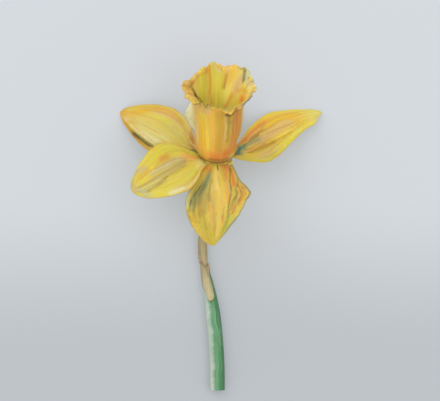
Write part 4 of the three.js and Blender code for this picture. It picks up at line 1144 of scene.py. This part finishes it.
# The papery sheath, open down its right side. Tables give the lower edge's y at each q across the wrap, and
# half the wrap in degrees and its radius at each y.
spathe = {
    "foot": [(-1, -45.3), (-0.65, -47.2), (-0.38, -46.3), (-0.15, -42), (0.35, -39.2), (1, -37)],
    "halfWrap": [(-48, 90), (-36, 90), (-33, 104), (-30, 128), (-26, 140), (-8, 128)],
    "radius": [(-49, 3.85), (-46, 3.6), (-43, 3.3), (-40, 3), (-37, 2.65), (-33.5, 2.35),
               (-31, 2.05), (-29.2, 1.74), (-27.4, 1.95), (-20, 2), (-8, 1.95)],
    "top": -9, "shoulder": 7, "middle": 146, "rows": 170, "columns": 90, "thickness": 0.42,
    "edgeThickness": 0.16, "folds": 7, "fold": 0.07, "foldTwist": 0.25, "wrinkles": 4.0, "wrinkle": 0.09,
    "rag": 0.35, "footFade": 0.02, "tipFade": 0.985, "sideFade": 0.9, "edgeStrength": 0.85,
    "length": 36.0, "half": 4.5, "flowHalf": 8, "innerFlow": (0, 20, 0), "innerValue": 0.93,
    "base": "#b5a27c", "edge": "#5e553f",
    "strokes": {
        "colours": ["#8c7a58", "#cdbb92", "#7e7358", "#b8935c", "#a3a17a"], "count": 70, "seed": 43,
        "spread": (-1, 1), "sway": 0.4, "length": (0.05, 0.3), "width": (0.12, 0.3),
    },
    "washes": [
        ("#c2b28c", (0.1, -0.5, 0.3, -0.35), 2.4, 0.8), ("#aab288", (0.02, -0.95, 0.35, -0.95), 0.9, 0.75),
        ("#b3b98e", (0.02, -0.3, 0.2, 0.1), 1.0, 0.6), ("#94866a", (0.36, -0.85, 0.46, -0.5), 1.1, 0.8),
        ("#a8976e", (0.55, -0.7, 0.95, -0.7), 1.6, 0.8), ("#b7a57e", (0.55, -0.2, 0.95, -0.2), 1.2, 0.6),
        ("#85744f", (0.51, -0.8, 0.38, 0), 0.4, 0.85), ("#85744f", (0.38, 0, 0.37, 0.7), 0.4, 0.85),
        ("#8f8468", (0.45, 0.2, 0.95, 0.25), 0.7, 0.7), ("#7c735a", (0.05, 0.4, 0.36, 0.3), 0.7, 0.7),
        ("#a8926c", (0.95, -1, 0.95, 1), 1.6, 0.7), ("#8d7c5e", (0.1, 0.85, 0.8, 0.9), 1.0, 0.5),
    ],
}
stemAndStalk = [np.array(point[:3]) for point in scape["line"]] + stalkLine[1:]
places = np.linspace(0, 1, 3000)
lineY = pathCurve(stemAndStalk, places)[0][:, 1]

# It wraps the stem and the stalk: rows go up between a ragged foot and a blunt tip, and each is an arc about
# the line at its y, with long folds and wrinkles
s, q = placeGrid(spathe["rows"], spathe["columns"])
lower = tableCurve(spathe["foot"], q) + spathe["rag"] * uneven(q, 3.0, 0.3)
upper = spathe["top"] - spathe["shoulder"] * np.abs(q) ** 1.4
upper = upper - spathe["rag"] * uneven(q, 4.0, 1.3) * np.abs(q)
y = lower + (upper - lower) * s
centre, slope = pathCurve(stemAndStalk, np.interp(y, lineY, places))
right, up = squareTo(slope, (0, 0, 1))
angle = np.radians(spathe["middle"] + q * tableCurve(spathe["halfWrap"], y))
folded = spathe["fold"] * np.sin(spathe["folds"] * angle + spathe["foldTwist"] * y)
wrinkled = spathe["wrinkle"] * uneven(angle / 6.28 + 0.01 * y, spathe["wrinkles"], 0.6)
reach = tableCurve(spathe["radius"], y) + folded + wrinkled
grid = centre + reach[..., None] * (np.cos(angle)[..., None] * right + np.sin(angle)[..., None] * up)
looseS, looseQ = loosened(s, q, 2.7)
marks = spathe["washes"] + strokes(**spathe["strokes"])
tint = washed(spathe["base"], marks, looseS, looseQ, (spathe["length"], spathe["half"]))
ends = np.maximum(1 - smooth(s, 0, spathe["footFade"]), smooth(s, spathe["tipFade"], 1))
edge = np.maximum(smooth(np.abs(q), spathe["sideFade"], 1), ends)
tint = blended(tint, spathe["edge"], spathe["edgeStrength"] * edge)
flow = np.stack([q * spathe["flowHalf"], 0 * q, s * spathe["length"]], -1)
thickness = wallThickness(spathe, (1 - np.abs(q) ** 8) * (1 - np.abs(2 * s - 1) ** 20))
tints, flows = (tint, tint * spathe["innerValue"]), (flow, flow + spathe["innerFlow"])
makePiece("sheath", [shell(stemToFrame(grid), thickness, tints, flows)], "sheathSkin", "spathe")
print("sheath made")

# The floor, a light sky, a soft key light from the upper left and a weaker one from the right. The floor has
# a soft glow of its own, painted light which keeps the shadows on it pale, and a painted falloff of light
# makes it a little darker at the front.
stageLook = {
    "size": 4.0, "pale": "#bcc0c4", "low": "#a9adb1", "fade": (-0.06, 0.02), "dim": 0.65, "glow": 0.46,
    "sky": (0.87, 0.875, 0.885), "skyStrength": 0.93,
    "keyPlace": (-0.55, 0.7, 1.2), "keySize": 1.2, "keyPower": 7.3,
    "fillPlace": (0.3, 0.0, 1.3), "fillSize": 1.2, "fillPower": 7.0,
}
mesh = bpy.data.meshes.new("floor")
reach = stageLook["size"] / 2
corners = [(x * reach, y * reach, 0) for x, y in ((-1, -1), (1, -1), (1, 1), (-1, 1))]
mesh.from_pydata(corners, [], [(0, 1, 2, 3)])
floorPaint = bpy.data.materials.new("floorPaint")
floorPaint.use_nodes = True
tree = floorPaint.node_tree
# Painted shade: the floor's colour goes from pale at the back to low at the front
start, end = stageLook["fade"]
solid = shaderNode(tree, "TexCoord", "Object", {})
y = shaderNode(tree, "SeparateXYZ", "Y", {"Vector": solid})
band = shaderNode(tree, "MapRange", "Result", {"Value": y, "From Min": start, "From Max": end},
                  interpolation_type="SMOOTHSTEP")
shade = shaderNode(tree, "ValToRGB", "Color", {"Fac": band})
shade.node.color_ramp.elements[0].color = (*linear(stageLook["low"]), 1)
shade.node.color_ramp.elements[1].color = (*linear(stageLook["pale"]), 1)
dimmed = shaderNode(tree, "VectorMath", "Vector", {"Vector": shade, "Scale": stageLook["dim"]},
                    operation="SCALE")
# Painted light: the floor glows with its own colour, and its base colour is dimmed to match
fillInputs(tree, tree.nodes["Principled BSDF"], {
    "Base Color": dimmed, "Emission Color": shade, "Emission Strength": stageLook["glow"],
    "Roughness": 0.9, "Specular IOR Level": 0.1})
mesh.materials.append(floorPaint)
placed("floor", mesh)

world = bpy.data.worlds.new("sky")
bpy.context.scene.world = world
world.use_nodes = True
fillInputs(world.node_tree, world.node_tree.nodes["Background"], {
    "Color": (*stageLook["sky"], 1), "Strength": stageLook["skyStrength"]})

for kind in ("key", "fill"):
    light = bpy.data.lights.new(kind + "Light", "AREA")
    light.size = stageLook[kind + "Size"]
    light.energy = stageLook[kind + "Power"]
    lamp = placed(kind + "Light", light)
    lamp.location = stageLook[kind + "Place"]
    lamp.rotation_euler = (-Vector(stageLook[kind + "Place"])).to_track_quat("-Z", "Y").to_euler()

# The camera looks straight down from 1.1 m
view = {"lens": 191.03, "sensor": 36, "far": 20, "place": (-0.00028989, 0.01314917, 1.10003516)}
lens = bpy.data.cameras.new("camera")
lens.sensor_width = view["sensor"]
lens.lens = view["lens"]
lens.clip_end = view["far"]
lens.dof.use_dof = False
camera = placed("camera", lens)
camera.location = view["place"]
bpy.context.scene.camera = camera
bpy.context.scene.view_settings.view_transform = "Standard"
print("stage, light and camera made")
